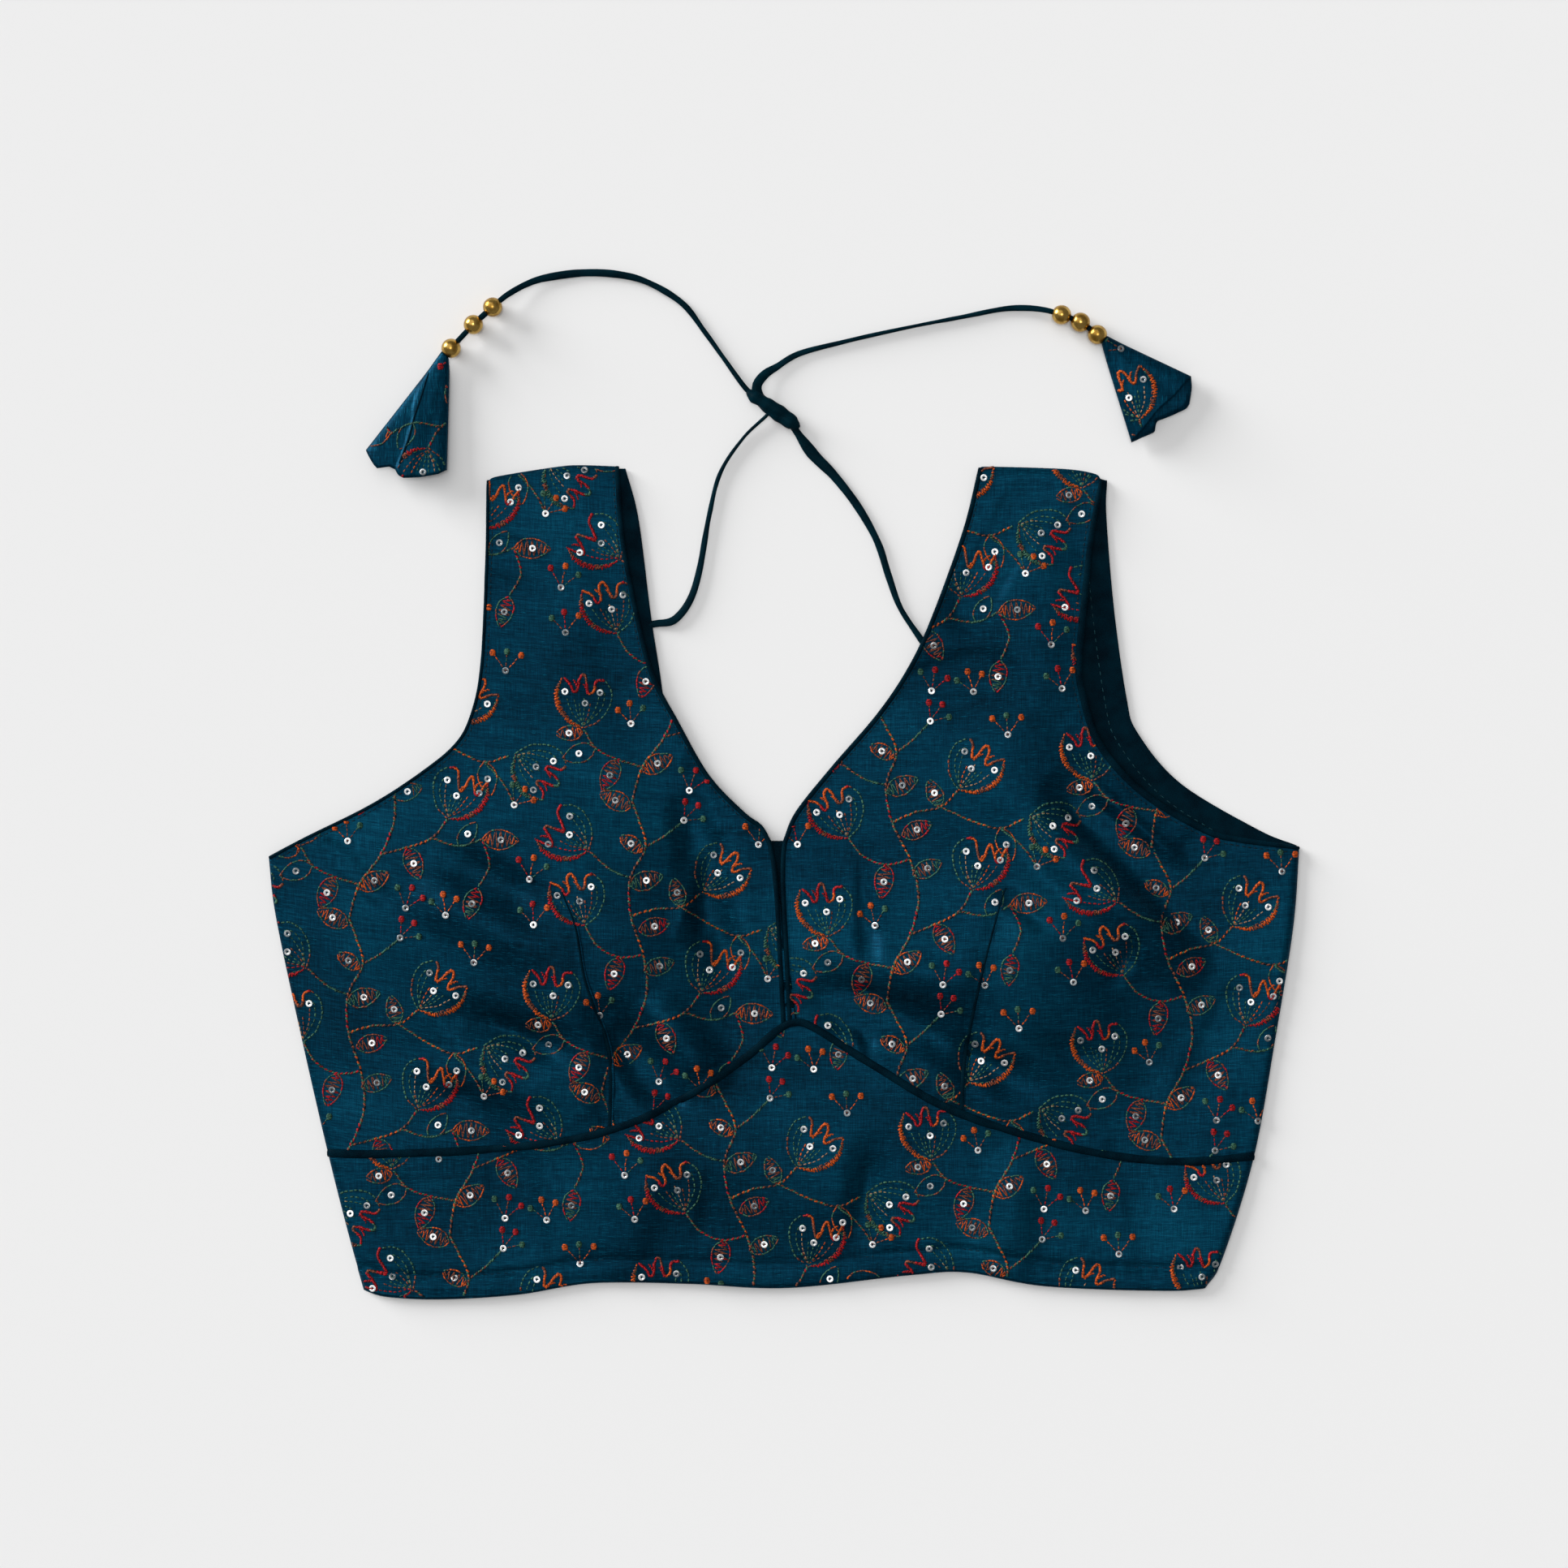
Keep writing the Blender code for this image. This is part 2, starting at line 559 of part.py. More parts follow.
def add_beads(prefix, places, route, material):
    """Thread beads on a cord, each one in line with it."""
    curve = cord_curve(route)
    for number, place in enumerate(places, 1):
        index = min(range(1, len(curve) - 1),
                    key=lambda step: (curve[step].xy - Vector(place)).length)
        direction = curve[index + 1] - curve[index - 1]
        add_bead(f"{prefix}_{number}", place, direction, material)


def add_loft(name, rings, material):
    """Join rings of equal count into one closed body, with a flat cap at each end."""
    sides = len(rings[0])
    points = [point * MM for ring in rings for point in ring]
    faces = [tuple(reversed(range(sides)))]
    for ring in range(len(rings) - 1):
        for side in range(sides):
            following = (side + 1) % sides
            first = ring * sides
            faces.append((first + side, first + following, first + sides + following,
                          first + sides + side))
    faces.append(tuple(range((len(rings) - 1) * sides, len(rings) * sides)))
    mesh = bpy.data.meshes.new(name)
    mesh.from_pydata(points, [], faces)
    mesh.shade_smooth()
    return add_object(name, mesh, material)


def add_knot(material):
    """Make the bar that the two cords form where they are wound round each other."""
    start = Vector(KNOT_ENDS[0])
    end = Vector(KNOT_ENDS[1])
    along = (end - start).normalized()
    aside = Vector((-along.y, along.x))
    sections = 14
    sides = 12
    wraps = 3
    end_ratio = 0.32
    groove = 0.1
    rings = []
    for section in range(sections + 1):
        part = section / sections
        plump = end_ratio + (1 - end_ratio) * math.sin(math.pi * part) ** 0.6
        plump *= 1 - groove * (1 + math.cos(2 * math.pi * wraps * part)) / 2
        middle = start.lerp(end, part)
        ring = []
        for side in range(sides):
            angle = 2 * math.pi * side / sides
            place = middle + aside * (KNOT_WIDTH / 2 * plump * math.cos(angle))
            level = KNOT_LEVEL + KNOT_HEIGHT / 2 * plump * math.sin(angle)
            ring.append(Vector((place.x, place.y, level)))
        rings.append(ring)
    return add_loft("dori_knot", rings, material)


def rim_reach(rim, across, above):
    """Reach of a tassel's rim at a place across, on its upper or its lower layer."""
    for a, b in zip(rim, rim[1:]):
        if across <= b.across:
            part = (across - a.across) / (b.across - a.across)
            part = part * part * (3 - 2 * part)
            over = a.over + (b.over - a.over) * part
            under = a.under + (b.under - a.under) * part
            return over if above else under
    return 1.0


def tassel_ring(tassel, part, shrink):
    """One section of a folded cone, part of the way from its apex to its rim."""
    sides = 24
    apex_radius = 2.1
    settled = 0.3
    spread_power = 0.8
    valley_half_width = 0.22
    valley_depth = 0.35
    before, bead, _ = (Vector(point).xy for point in tassel.cord_end)
    entry = (Vector(tassel.cord_end[-1]).xy - before).normalized()
    apex = bead + entry * (BEAD_DIAMETER / 2)
    ring = []
    half_height = apex_radius + (tassel.height / 2 - apex_radius) * part ** spread_power
    droop = max(0.0, 1 - part / settled) ** 2
    middle_level = TASSEL_REST + half_height
    middle_level += (BEAD_LEVEL - TASSEL_REST - apex_radius) * droop
    tips = (Vector(tassel.right_tip) - Vector(tassel.left_tip)).normalized()
    square_on = Vector((-entry.y, entry.x))
    aside = square_on.lerp(tips, min(1.0, 2 * part / settled)).normalized()
    for side in range(sides):
        angle = 2 * math.pi * side / sides
        across = (1 + math.cos(angle)) / 2
        above = math.sin(angle) >= 0
        target = Vector(tassel.left_tip).lerp(Vector(tassel.right_tip), across)
        reach = 1 + (rim_reach(tassel.rim, across, above) - 1) * part
        place = apex + (target - apex) * part * reach
        place += aside * (math.cos(angle) * (apex_radius * (1 - part) - shrink))
        dip = 0.0
        if above:
            dip = rounded(abs(across - tassel.valley) / valley_half_width)
            dip *= valley_depth * half_height * part
        level = middle_level + (half_height - shrink) * math.sin(angle) - dip
        ring.append(Vector((place.x, place.y, level)))
    return ring


def add_tassel(tassel, material):
    """Make a hollow folded cone of cloth that is open at its rim."""
    outer_parts = [0.0, 0.12, 0.3, 0.5, 0.7, 0.87, 1.0]
    inner_parts = [1.0, 0.87, 0.7, 0.5, 0.3, 0.2]
    rings = [tassel_ring(tassel, part, 0.0) for part in outer_parts]
    rings += [tassel_ring(tassel, part, TASSEL_WALL) for part in inner_parts]
    return add_loft(tassel.name, rings, material)


def clear_scene():
    for thing in list(bpy.data.objects):
        bpy.data.objects.remove(thing, do_unlink=True)


clear_scene()
blouse = bpy.data.collections.new("choli_blouse")
bpy.context.scene.collection.children.link(blouse)


def main():
    silk = make_material("teal_silk", (0.002, 0.058, 0.102), 0.5)
    back_silk = make_material("back_silk", (0.002, 0.05, 0.09), 0.5)
    lining = make_material("dark_lining", (0.001, 0.01, 0.02), 0.6)
    cord_cloth = make_material("cord_silk", (0.001, 0.014, 0.024), 0.55)
    gold = make_material("antique_gold", (0.42, 0.27, 0.08), 0.35, 1.0)

    add_front("front_left", -1, silk)
    add_front("front_right", 1, silk)
    add_belt(silk)
    add_back("back_left", -1, BACK_LEFT_SHOULDER, back_silk)
    add_back("back_right", 1, BACK_RIGHT_SHOULDER, back_silk)
    add_placket(lining)
    add_front_pipings(lining)
    add_back_pipings(lining)

    add_cord("dori_right_lower", RIGHT_CORD_LOWER, cord_cloth)
    add_cord("dori_left_lower", LEFT_CORD_LOWER, cord_cloth)
    add_cord("dori_left_upper", LEFT_CORD_UPPER, cord_cloth)
    add_cord("dori_right_upper", RIGHT_CORD_UPPER, cord_cloth)
    add_knot(cord_cloth)
    add_beads("bead_left", LEFT_BEADS, LEFT_CORD_UPPER, gold)
    add_beads("bead_right", RIGHT_BEADS, RIGHT_CORD_UPPER, gold)
    for tassel in TASSELS:
        add_tassel(tassel, silk)


main()
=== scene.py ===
"""Looks of the choli blouse: slubbed silk panels, embroidery, sequins, pipings, cords and tassels.

Lengths are in millimetres and become metres where meshes are made. X runs across the
blouse, Y from hem to shoulders, Z up. Left and right are as seen from above.
"""
import math
import random
from collections import namedtuple

import bpy
import numpy as np
from mathutils.bvhtree import BVHTree
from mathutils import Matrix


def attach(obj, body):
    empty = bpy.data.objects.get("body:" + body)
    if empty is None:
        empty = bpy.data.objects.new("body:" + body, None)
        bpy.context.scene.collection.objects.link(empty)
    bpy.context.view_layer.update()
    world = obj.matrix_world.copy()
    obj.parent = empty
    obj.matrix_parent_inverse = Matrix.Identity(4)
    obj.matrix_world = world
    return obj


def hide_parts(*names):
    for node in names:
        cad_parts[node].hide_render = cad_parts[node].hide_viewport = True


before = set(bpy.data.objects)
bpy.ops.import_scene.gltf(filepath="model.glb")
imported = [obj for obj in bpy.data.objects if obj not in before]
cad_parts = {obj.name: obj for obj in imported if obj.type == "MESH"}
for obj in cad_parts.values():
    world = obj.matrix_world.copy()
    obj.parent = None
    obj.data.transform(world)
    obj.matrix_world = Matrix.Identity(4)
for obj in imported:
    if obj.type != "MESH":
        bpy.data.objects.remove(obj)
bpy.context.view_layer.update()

MM = 0.001
BODY = "root"

# The camera looks straight down on a field as wide as the photograph shows.
VIEW_WIDTH = 0.6762
VIEW_CENTRE_UP = 0.042
CAMERA_HEIGHT = 1.7
SENSOR_WIDTH = 36.0

# Levels of the cloth above the surface.
BACK_WALL = 1.2
SEAM_GAP = 0.3
FRONT_LEVEL = BACK_WALL + SEAM_GAP
LEVEL_EASE = 0.2
FRONT_TOP = 1.25
CLOTH = 0.7
BACK_TOP = 1.15
BACK_UNDER = 0.6
HEM_TURN = 9.5
HEM_GROOVE = 0.95
HEM_CLOTH = 1.3

# Trims.
EDGE_PIPING = 1.5
NECK_PIPING = 2.1
BELT_PIPING = 3.4
HEM_EDGE = 0.9
BACK_PIPING = 1.1
EDGE_TUCK = 0.9
SEAM_TUCK = 0.4
EDGE_STITCH = 2.8

# The front opening below the V neck.
NOTCH_HEIGHT = 17.5
SLIT_TOP_ACROSS = -3.0
SLIT_FOOT_ACROSS = 1.2
SLIT_TOP_HALF_GAP = 2.5
SLIT_FOOT_HALF_GAP = 0.35
SLIT_FOOT_HEIGHT = -61.0
PLACKET_HALF_WIDTH = 10.0

# The back.
BACK_SIDE_INSET = 0.6
BACK_HEM_INSET = 1.5
BACK_NECK_DEPTH = -10.0
CENTRE_BACK = 1.0

# Cords, beads and tassels.
CORD_WIDTH = 2.7
CORD_LEVEL = 1.25
BEAD_DIAMETER = 8.4
BEAD_BORE = 2.6
BEAD_LEVEL = 4.4
TASSEL_WALL = 0.9
TASSEL_REST = 0.2

# Outline curves, each a few points (across, up) that a smooth curve runs through.
LEFT_SIDE = [(-180.8, -175.7), (-187.7, -151.0), (-196.4, -116.6), (-208.0, -66.0),
             (-218.8, -15.0), (-221.9, 10.9)]
RIGHT_SIDE = [(181.3, -175.0), (188.7, -162.6), (202.3, -118.7), (211.8, -66.2),
              (219.3, -19.3), (221.9, 15.1)]
HEM = [(-180.8, -175.7), (-170.3, -178.6), (-147.0, -179.6), (-114.0, -177.5), (-82.4, -172.6),
       (-40.6, -172.9), (1.4, -174.7), (53.6, -169.2), (78.8, -168.0), (112.2, -173.9),
       (162.4, -175.9), (181.3, -175.0)]
BELT_SEAM = [(-196.4, -116.8), (-174.5, -117.3), (-124.3, -115.0), (-82.4, -108.9),
             (-49.0, -96.3), (-18.9, -77.4), (-4.0, -65.0), (4.2, -60.6), (13.0, -62.9),
             (36.8, -77.9), (70.4, -97.3), (103.8, -108.9), (137.2, -117.3), (170.8, -120.6),
             (202.3, -118.3)]
LEFT_ARMHOLE = [(-221.9, 10.9), (-206.0, 19.3), (-179.2, 32.6), (-159.1, 45.3), (-142.4, 58.7),
                (-135.0, 72.1), (-130.7, 94.3), (-128.7, 138.0), (-128.1, 172.6)]
RIGHT_ARMHOLE = [(221.9, 15.1), (195.9, 18.2), (180.8, 22.4), (154.0, 38.2), (135.6, 59.2),
                 (127.6, 83.3), (126.9, 97.1), (129.5, 123.9), (132.9, 150.6), (137.2, 172.9)]
LEFT_NECK = [(-5.5, NOTCH_HEIGHT), (-9.5, 24.3), (-17.2, 30.1), (-32.2, 45.9), (-45.6, 69.3),
             (-56.0, 89.6), (-62.7, 115.9), (-68.6, 147.7), (-71.0, 178.7)]
RIGHT_NECK = [(-0.5, NOTCH_HEIGHT), (4.9, 30.0), (20.1, 49.1), (40.2, 72.5), (53.6, 92.6),
              (63.7, 114.4), (77.0, 151.2), (83.7, 178.2)]
LEFT_SHOULDER = [(-128.1, 172.6), (-123.3, 174.5), (-98.4, 178.4), (-87.7, 179.2),
                 (-71.0, 178.7)]
RIGHT_SHOULDER = [(83.7, 178.2), (88.1, 178.7), (120.8, 177.5), (134.3, 175.4), (137.2, 172.9)]
BACK_LEFT_NECK = [(CENTRE_BACK, BACK_NECK_DEPTH), (-22.0, -4.0), (-40.0, 22.0), (-48.0, 50.0),
                  (-53.2, 88.0), (-57.4, 115.0), (-62.7, 156.3), (-68.3, 177.9)]
BACK_RIGHT_NECK = [(CENTRE_BACK, BACK_NECK_DEPTH), (26.0, -2.0), (48.0, 26.0), (60.0, 58.0),
                   (69.0, 92.0), (80.0, 138.0), (89.0, 177.9)]
BACK_RIGHT_ARMHOLE = [(220.9, 15.6), (204.3, 22.4), (170.8, 42.4), (152.4, 64.2),
                      (147.7, 79.1), (142.3, 117.3), (139.0, 157.3), (139.3, 172.7)]
BACK_LEFT_SHOULDER = [(-128.1, 172.0), (-98.4, 177.4), (-68.3, 177.9)]
BACK_RIGHT_SHOULDER = [(89.0, 177.9), (120.8, 176.9), (139.3, 172.7)]

# The blouse's two halves. The bow tilts the cloth's threads towards the side, and the extra
# widens the front armhole's piping at its middle.
Half = namedtuple("Half", "name sign side neck armhole shoulder back_neck back_armhole "
                          "back_shoulder bow piping_extra")
HALVES = (
    Half("left", -1, LEFT_SIDE, LEFT_NECK, LEFT_ARMHOLE, LEFT_SHOULDER, BACK_LEFT_NECK,
         LEFT_ARMHOLE, BACK_LEFT_SHOULDER, 0.00036, 0.0),
    Half("right", 1, RIGHT_SIDE, RIGHT_NECK, RIGHT_ARMHOLE, RIGHT_SHOULDER, BACK_RIGHT_NECK,
         BACK_RIGHT_ARMHOLE, BACK_RIGHT_SHOULDER, 0.0001, 0.95),
)

# Broad swells of the front above the back: centre, reach across and up, and rise.
Swell = namedtuple("Swell", "name across up reach_across reach_up rise")
SWELLS = [
    Swell("left cup", -92.0, -22.0, 98.0, 100.0, 12.5),
    Swell("right cup", 94.0, -20.0, 96.0, 100.0, 12.5),
    Swell("midriff", 0.0, -112.0, 170.0, 62.0, 4.5),
    Swell("left strap", -97.0, 105.0, 33.0, 85.0, 2.4),
    Swell("right strap", 104.0, 105.0, 36.0, 85.0, 3.0),
]

# The largest folds: the line that each follows, its half width, and its rise or fall.
Fold = namedtuple("Fold", "name start end half_width rise")
FOLDS = [
    Fold("beside the left dart", (-73.0, -60.0), (-50.0, -92.0), 14.0, -3.0),
    Fold("left cup, inner ridge", (-52.0, -58.0), (-33.0, -82.0), 14.0, 2.0),
    Fold("left cup, upper trough", (-140.0, 8.0), (-108.0, -8.0), 13.0, -2.2),
    Fold("left cup, upper ridge", (-150.0, -8.0), (-112.0, -28.0), 14.0, 1.8),
    Fold("left cup, lower trough", (-136.0, -58.0), (-96.0, -72.0), 13.0, -2.4),
    Fold("left cup, lower ridge", (-150.0, -80.0), (-112.0, -92.0), 12.0, 1.5),
    Fold("left cup, neck trough", (-41.0, 30.0), (-28.0, -30.0), 12.0, -2.0),
    Fold("left cup, seam trough", (-139.0, -88.0), (-130.0, -110.0), 11.0, -1.5),
    Fold("right underarm trough", (122.0, 36.0), (183.0, -20.0), 15.0, -3.5),
    Fold("right underarm ridge", (112.0, 22.0), (170.0, -34.0), 16.0, 2.2),
    Fold("right underarm, short", (177.0, 12.0), (204.0, -9.0), 11.0, -2.0),
    Fold("right side trough", (196.0, -54.0), (177.0, -90.0), 12.0, -2.0),
    Fold("right cup, inner trough", (20.0, -52.0), (72.0, -66.0), 15.0, -2.6),
    Fold("right cup, inner ridge", (24.0, -30.0), (70.0, -44.0), 14.0, 1.8),
    Fold("right cup, lower trough", (72.0, -74.0), (102.0, -86.0), 13.0, -2.2),
    Fold("right strap base", (60.0, 86.0), (90.0, 91.0), 13.0, -1.6),
    Fold("right strap diagonal", (107.0, 165.0), (80.0, 117.0), 13.0, -1.6),
    Fold("left strap crease", (-127.0, 146.0), (-108.0, 132.0), 11.0, -1.2),
    Fold("belt, left trough", (-118.0, -122.0), (-112.0, -165.0), 14.0, -1.4),
    Fold("belt, left ridge", (-60.0, -125.0), (-70.0, -163.0), 16.0, 1.0),
    Fold("belt, middle trough", (38.0, -118.0), (34.0, -152.0), 13.0, -1.2),
    Fold("belt, right ridge", (100.0, -127.0), (96.0, -163.0), 16.0, 1.0),
]

# Narrow creases, which only this finer cloth has.
CREASES = [
    Fold("left cup, beside the dart", (-72.0, -66.0), (-60.0, -88.0), 6.0, -1.1),
    Fold("left cup, seam nick", (-58.0, -80.0), (-46.0, -95.0), 5.0, -0.9),
    Fold("left cup, upright", (-28.0, 18.0), (-37.0, -26.0), 5.0, -0.7),
    Fold("left cup, upright ridge", (-36.0, 14.0), (-45.0, -22.0), 5.5, 0.6),
    Fold("left cup, low nick", (-137.0, -92.0), (-128.0, -108.0), 4.5, -0.8),
    Fold("left cup, low pull", (-125.0, -60.0), (-98.0, -74.0), 6.0, -0.7),
    Fold("left side, pull", (-205.0, -30.0), (-184.0, -52.0), 7.0, -0.6),
    Fold("left underarm, pull", (-196.0, 14.0), (-172.0, -8.0), 6.0, -0.7),
    Fold("right armhole, long", (124.0, 33.0), (158.0, 2.0), 5.5, -1.3),
    Fold("right armhole, lower", (139.0, 16.0), (183.0, -19.0), 5.0, -1.0),
    Fold("right armhole, short", (178.0, 10.0), (203.0, -9.0), 4.5, -0.9),
    Fold("right armhole, crest", (133.0, 40.0), (171.0, 6.0), 5.0, 0.8),
    Fold("right side, low", (195.0, -55.0), (178.0, -88.0), 5.0, -0.9),
    Fold("right cup, faint", (151.0, -25.0), (140.0, -43.0), 5.0, -0.7),
    Fold("right cup, short", (96.6, -7.0), (112.0, -19.0), 5.0, -0.6),
    Fold("right cup, upright", (35.0, 12.0), (37.0, -60.0), 7.0, -0.7),
    Fold("right cup, low pull", (114.0, -70.0), (131.0, -76.0), 7.0, -0.6),
    Fold("right cup, by the dart", (32.0, -52.0), (37.0, -73.0), 5.0, -0.9),
    Fold("right cup, dart foot", (78.0, -70.0), (97.0, -84.0), 6.0, -0.7),
    Fold("right strap, long", (106.0, 166.0), (78.0, 118.0), 6.0, -0.7),
    Fold("right strap, base", (58.0, 88.0), (86.0, 90.0), 5.0, -0.8),
    Fold("left strap, side", (-126.0, 148.0), (-110.0, 134.0), 5.0, -0.7),
    Fold("belt, left", (-119.0, -124.0), (-112.0, -164.0), 6.0, -0.6),
    Fold("belt, middle", (38.0, -120.0), (32.0, -150.0), 5.0, -0.5),
    Fold("belt, inner", (-33.0, -130.0), (-34.0, -152.0), 5.0, -0.5),
    Fold("belt, left end", (-168.0, -125.0), (-160.0, -168.0), 7.0, -0.5),
    Fold("belt, right end", (150.0, -128.0), (158.0, -168.0), 7.0, -0.5),
]

# Places where the front is held up by what lies under it.
Lift = namedtuple("Lift", "name start end core fade rise")
LIFTS = [
    Lift("over the placket", (SLIT_TOP_ACROSS, NOTCH_HEIGHT), (SLIT_FOOT_ACROSS, SLIT_FOOT_HEIGHT),
         12.0, 26.0, 1.5),
    Lift("over the right cord", (57.0, 107.5), (70.0, 88.0), 5.0, 20.0, 1.6),
]

# Bust darts, from the belt seam up to their tips.
DARTS = [
    [(-74.9, -106.0), (-74.4, -79.6), (-77.4, -64.4), (-81.6, -52.9), (-85.8, -39.6),
     (-89.3, -19.3), (-95.0, -4.2)],
    [(76.3, -100.0), (77.0, -83.0), (80.4, -59.5), (85.4, -36.0), (88.8, -22.8),
     (92.9, -7.7), (94.9, -2.5)],
]

# Cord routes (across, up), from the back neck edge through the knot and on to the tassel.
# A point with a third number is lifted to that level, and the others lie on the surface.
RIGHT_CORD_LOWER = [(66.3, 93.3), (59.5, 103.6), (50.3, 117.6), (45.2, 131.3), (40.3, 146.3),
                    (31.9, 161.4), (21.7, 174.7), (11.9, 184.8, 1.5), (6.9, 195.1, 2.6)]
LEFT_CORD_LOWER = [(-58.6, 110.6, 0.4), (-54.6, 111.2, 0.9), (-47.3, 112.7), (-40.6, 121.1),
                   (-36.4, 134.4), (-32.2, 157.9), (-27.3, 176.4), (-17.2, 191.5, 1.5),
                   (-6.7, 200.2, 2.5)]
LEFT_CORD_UPPER = [(-16.2, 212.0, 2.6), (-25.6, 224.9, 1.4), (-34.0, 236.6), (-43.9, 249.2),
                   (-59.0, 258.3), (-72.5, 261.7), (-87.5, 262.2), (-102.6, 260.1, 1.5),
                   (-111.0, 257.2, 2.4), (-119.4, 252.2, 4.0), (-125.3, 247.1, BEAD_LEVEL),
                   (-133.6, 239.6, BEAD_LEVEL), (-143.2, 229.4, BEAD_LEVEL),
                   (-145.7, 226.5, BEAD_LEVEL)]
RIGHT_CORD_UPPER = [(-11.5, 212.4, 2.6), (-3.3, 221.6, 1.5), (6.7, 227.5), (25.2, 232.4),
                    (42.0, 236.3), (60.2, 240.1), (77.0, 243.3), (93.8, 246.6),
                    (104.0, 247.0, 2.2), (112.5, 245.9, 4.0), (119.4, 243.8, BEAD_LEVEL),
                    (127.5, 240.6, BEAD_LEVEL), (134.8, 235.3, BEAD_LEVEL),
                    (137.8, 232.95, BEAD_LEVEL)]
KNOT_A = [(1.0, 199.8, 2.9), (-4.6, 203.7, 3.0), (-10.5, 207.9, 2.9)]
KNOT_B = [(-5.2, 203.6, 2.6), (-10.5, 208.6, 3.4), (-11.6, 213.6, 3.6), (-8.2, 218.4, 2.4)]
LEFT_BEADS = [(-125.3, 247.1), (-133.6, 239.6), (-143.2, 229.4)]
RIGHT_BEADS = [(119.4, 243.8), (127.5, 240.6), (134.8, 235.3)]
KNOT_ENDS = [(-16.0, 211.2), (6.6, 195.4)]
KNOT_GIRTH = [(0.0, 0.7), (0.05, 1.9), (0.14, 3.1), (0.28, 3.0), (0.5, 3.4), (0.75, 3.3),
              (0.88, 2.9), (0.96, 1.8), (1.0, 0.7)]
KNOT_LEVEL = 3.3

# Tassels: how far each layer's rim reaches beyond the line between the two edge tips, and
# where the upper layer's fold lies across the tassel from its top to its rim.
Rim = namedtuple("Rim", "across reach")
Crease = namedtuple("Crease", "part across")
Tassel = namedtuple("Tassel", "name cord_end left_tip right_tip over under fold step height")
TASSELS = [
    Tassel("tassel_left", LEFT_CORD_UPPER[-3:], (-179.8, 185.6), (-144.9, 177.0),
           [Rim(0.0, 1.0), Rim(0.2, 1.117), Rim(0.25, 1.139), Rim(0.36, 1.098), Rim(0.43, 1.11),
            Rim(0.49, 1.157), Rim(0.55, 1.168), Rim(0.7, 1.128), Rim(0.9, 1.059), Rim(1.0, 1.0)],
           [Rim(0.0, 1.0), Rim(0.25, 1.08), Rim(0.5, 1.08), Rim(0.75, 1.07), Rim(1.0, 1.0)],
           [Crease(0.15, -0.05), Crease(0.6, 0.37), Crease(0.8, 0.435), Crease(1.1, 0.46)],
           1.7, 9.6),
    Tassel("tassel_right", RIGHT_CORD_UPPER[-3:], (149.5, 188.9), (175.2, 217.4),
           [Rim(0.0, 1.0), Rim(0.24, 0.996), Rim(0.46, 0.977), Rim(0.71, 1.01), Rim(1.0, 1.0)],
           [Rim(0.0, 1.0), Rim(0.15, 1.05), Rim(0.31, 1.116), Rim(0.36, 1.07), Rim(0.4, 1.056),
            Rim(0.54, 1.129), Rim(0.7, 1.207), Rim(0.75, 1.195), Rim(0.9, 1.09), Rim(1.0, 1.0)],
           [Crease(0.1, 0.02), Crease(0.5, 0.1), Crease(1.1, 0.2)], 0.5, 7.6),
]


# Curves and grids in the plane.

def smooth_curve(points, per_span=12):
    """Catmull-Rom curve through points of any number of coordinates."""
    knots = np.array(points, float)
    knots = np.vstack([2 * knots[0] - knots[1], knots, 2 * knots[-1] - knots[-2]])
    t = (np.arange(per_span) / per_span)[:, None]
    spans = []
    for a, b, c, d in zip(knots, knots[1:], knots[2:], knots[3:]):
        spans.append(0.5 * (2 * b + (c - a) * t + (2 * a - 5 * b + 4 * c - d) * t ** 2
                            + (3 * b - a - 3 * c + d) * t ** 3))
    return np.vstack(spans + [knots[-2:-1]])


def lengths_along(curve):
    """Distance along a curve at each of its points."""
    steps = np.linalg.norm(np.diff(curve, axis=0), axis=1)
    return np.concatenate([[0.0], np.cumsum(steps)])


def sampled(curve, places):
    """Points of a curve at places along it from 0 to 1."""
    lengths = lengths_along(curve)
    wanted = np.asarray(places) * lengths[-1]
    return np.column_stack([np.interp(wanted, lengths, column) for column in curve.T])


def even(count):
    """Places from 0 to 1 with a number of equal steps between them."""
    return np.linspace(0.0, 1.0, count + 1)


def denser_ends(count, ease=0.6):
    """Places from 0 to 1 that lie closer together at both ends."""
    t = even(count)
    return t - ease * np.sin(2 * np.pi * t) / (2 * np.pi)


def moved_aside(curve, distance):
    """Move a plane curve to the left of its own direction, by one distance or one a point."""
    direction = np.gradient(curve, axis=0)
    direction /= np.linalg.norm(direction, axis=1)[:, None]
    leftwards = np.column_stack([-direction[:, 1], direction[:, 0]])
    return curve + np.reshape(distance, (-1, 1)) * leftwards


def between_heights(curve, low, high):
    """Cut an upward curve to the stretch between two heights."""
    ends = [[np.interp(height, curve[:, 1], curve[:, 0]), height] for height in (low, high)]
    inside = curve[(curve[:, 1] > low) & (curve[:, 1] < high)]
    return np.vstack([ends[0], inside, ends[1]])


def patch(left, right, bottom, top):
    """Fill four edges of matching point counts with rows from the left edge to the right."""
    t = even(len(left) - 1)[:, None, None]
    places = lengths_along(bottom) / lengths_along(bottom)[-1]
    u = places[None, :, None]
    sag = bottom - (bottom[0] + (bottom[-1] - bottom[0]) * places[:, None])
    arch = top - (top[0] + (top[-1] - top[0]) * places[:, None])
    flat = left[:, None] * (1 - u) + right[:, None] * u
    return flat + (1 - t) * sag[None] + t * arch[None]


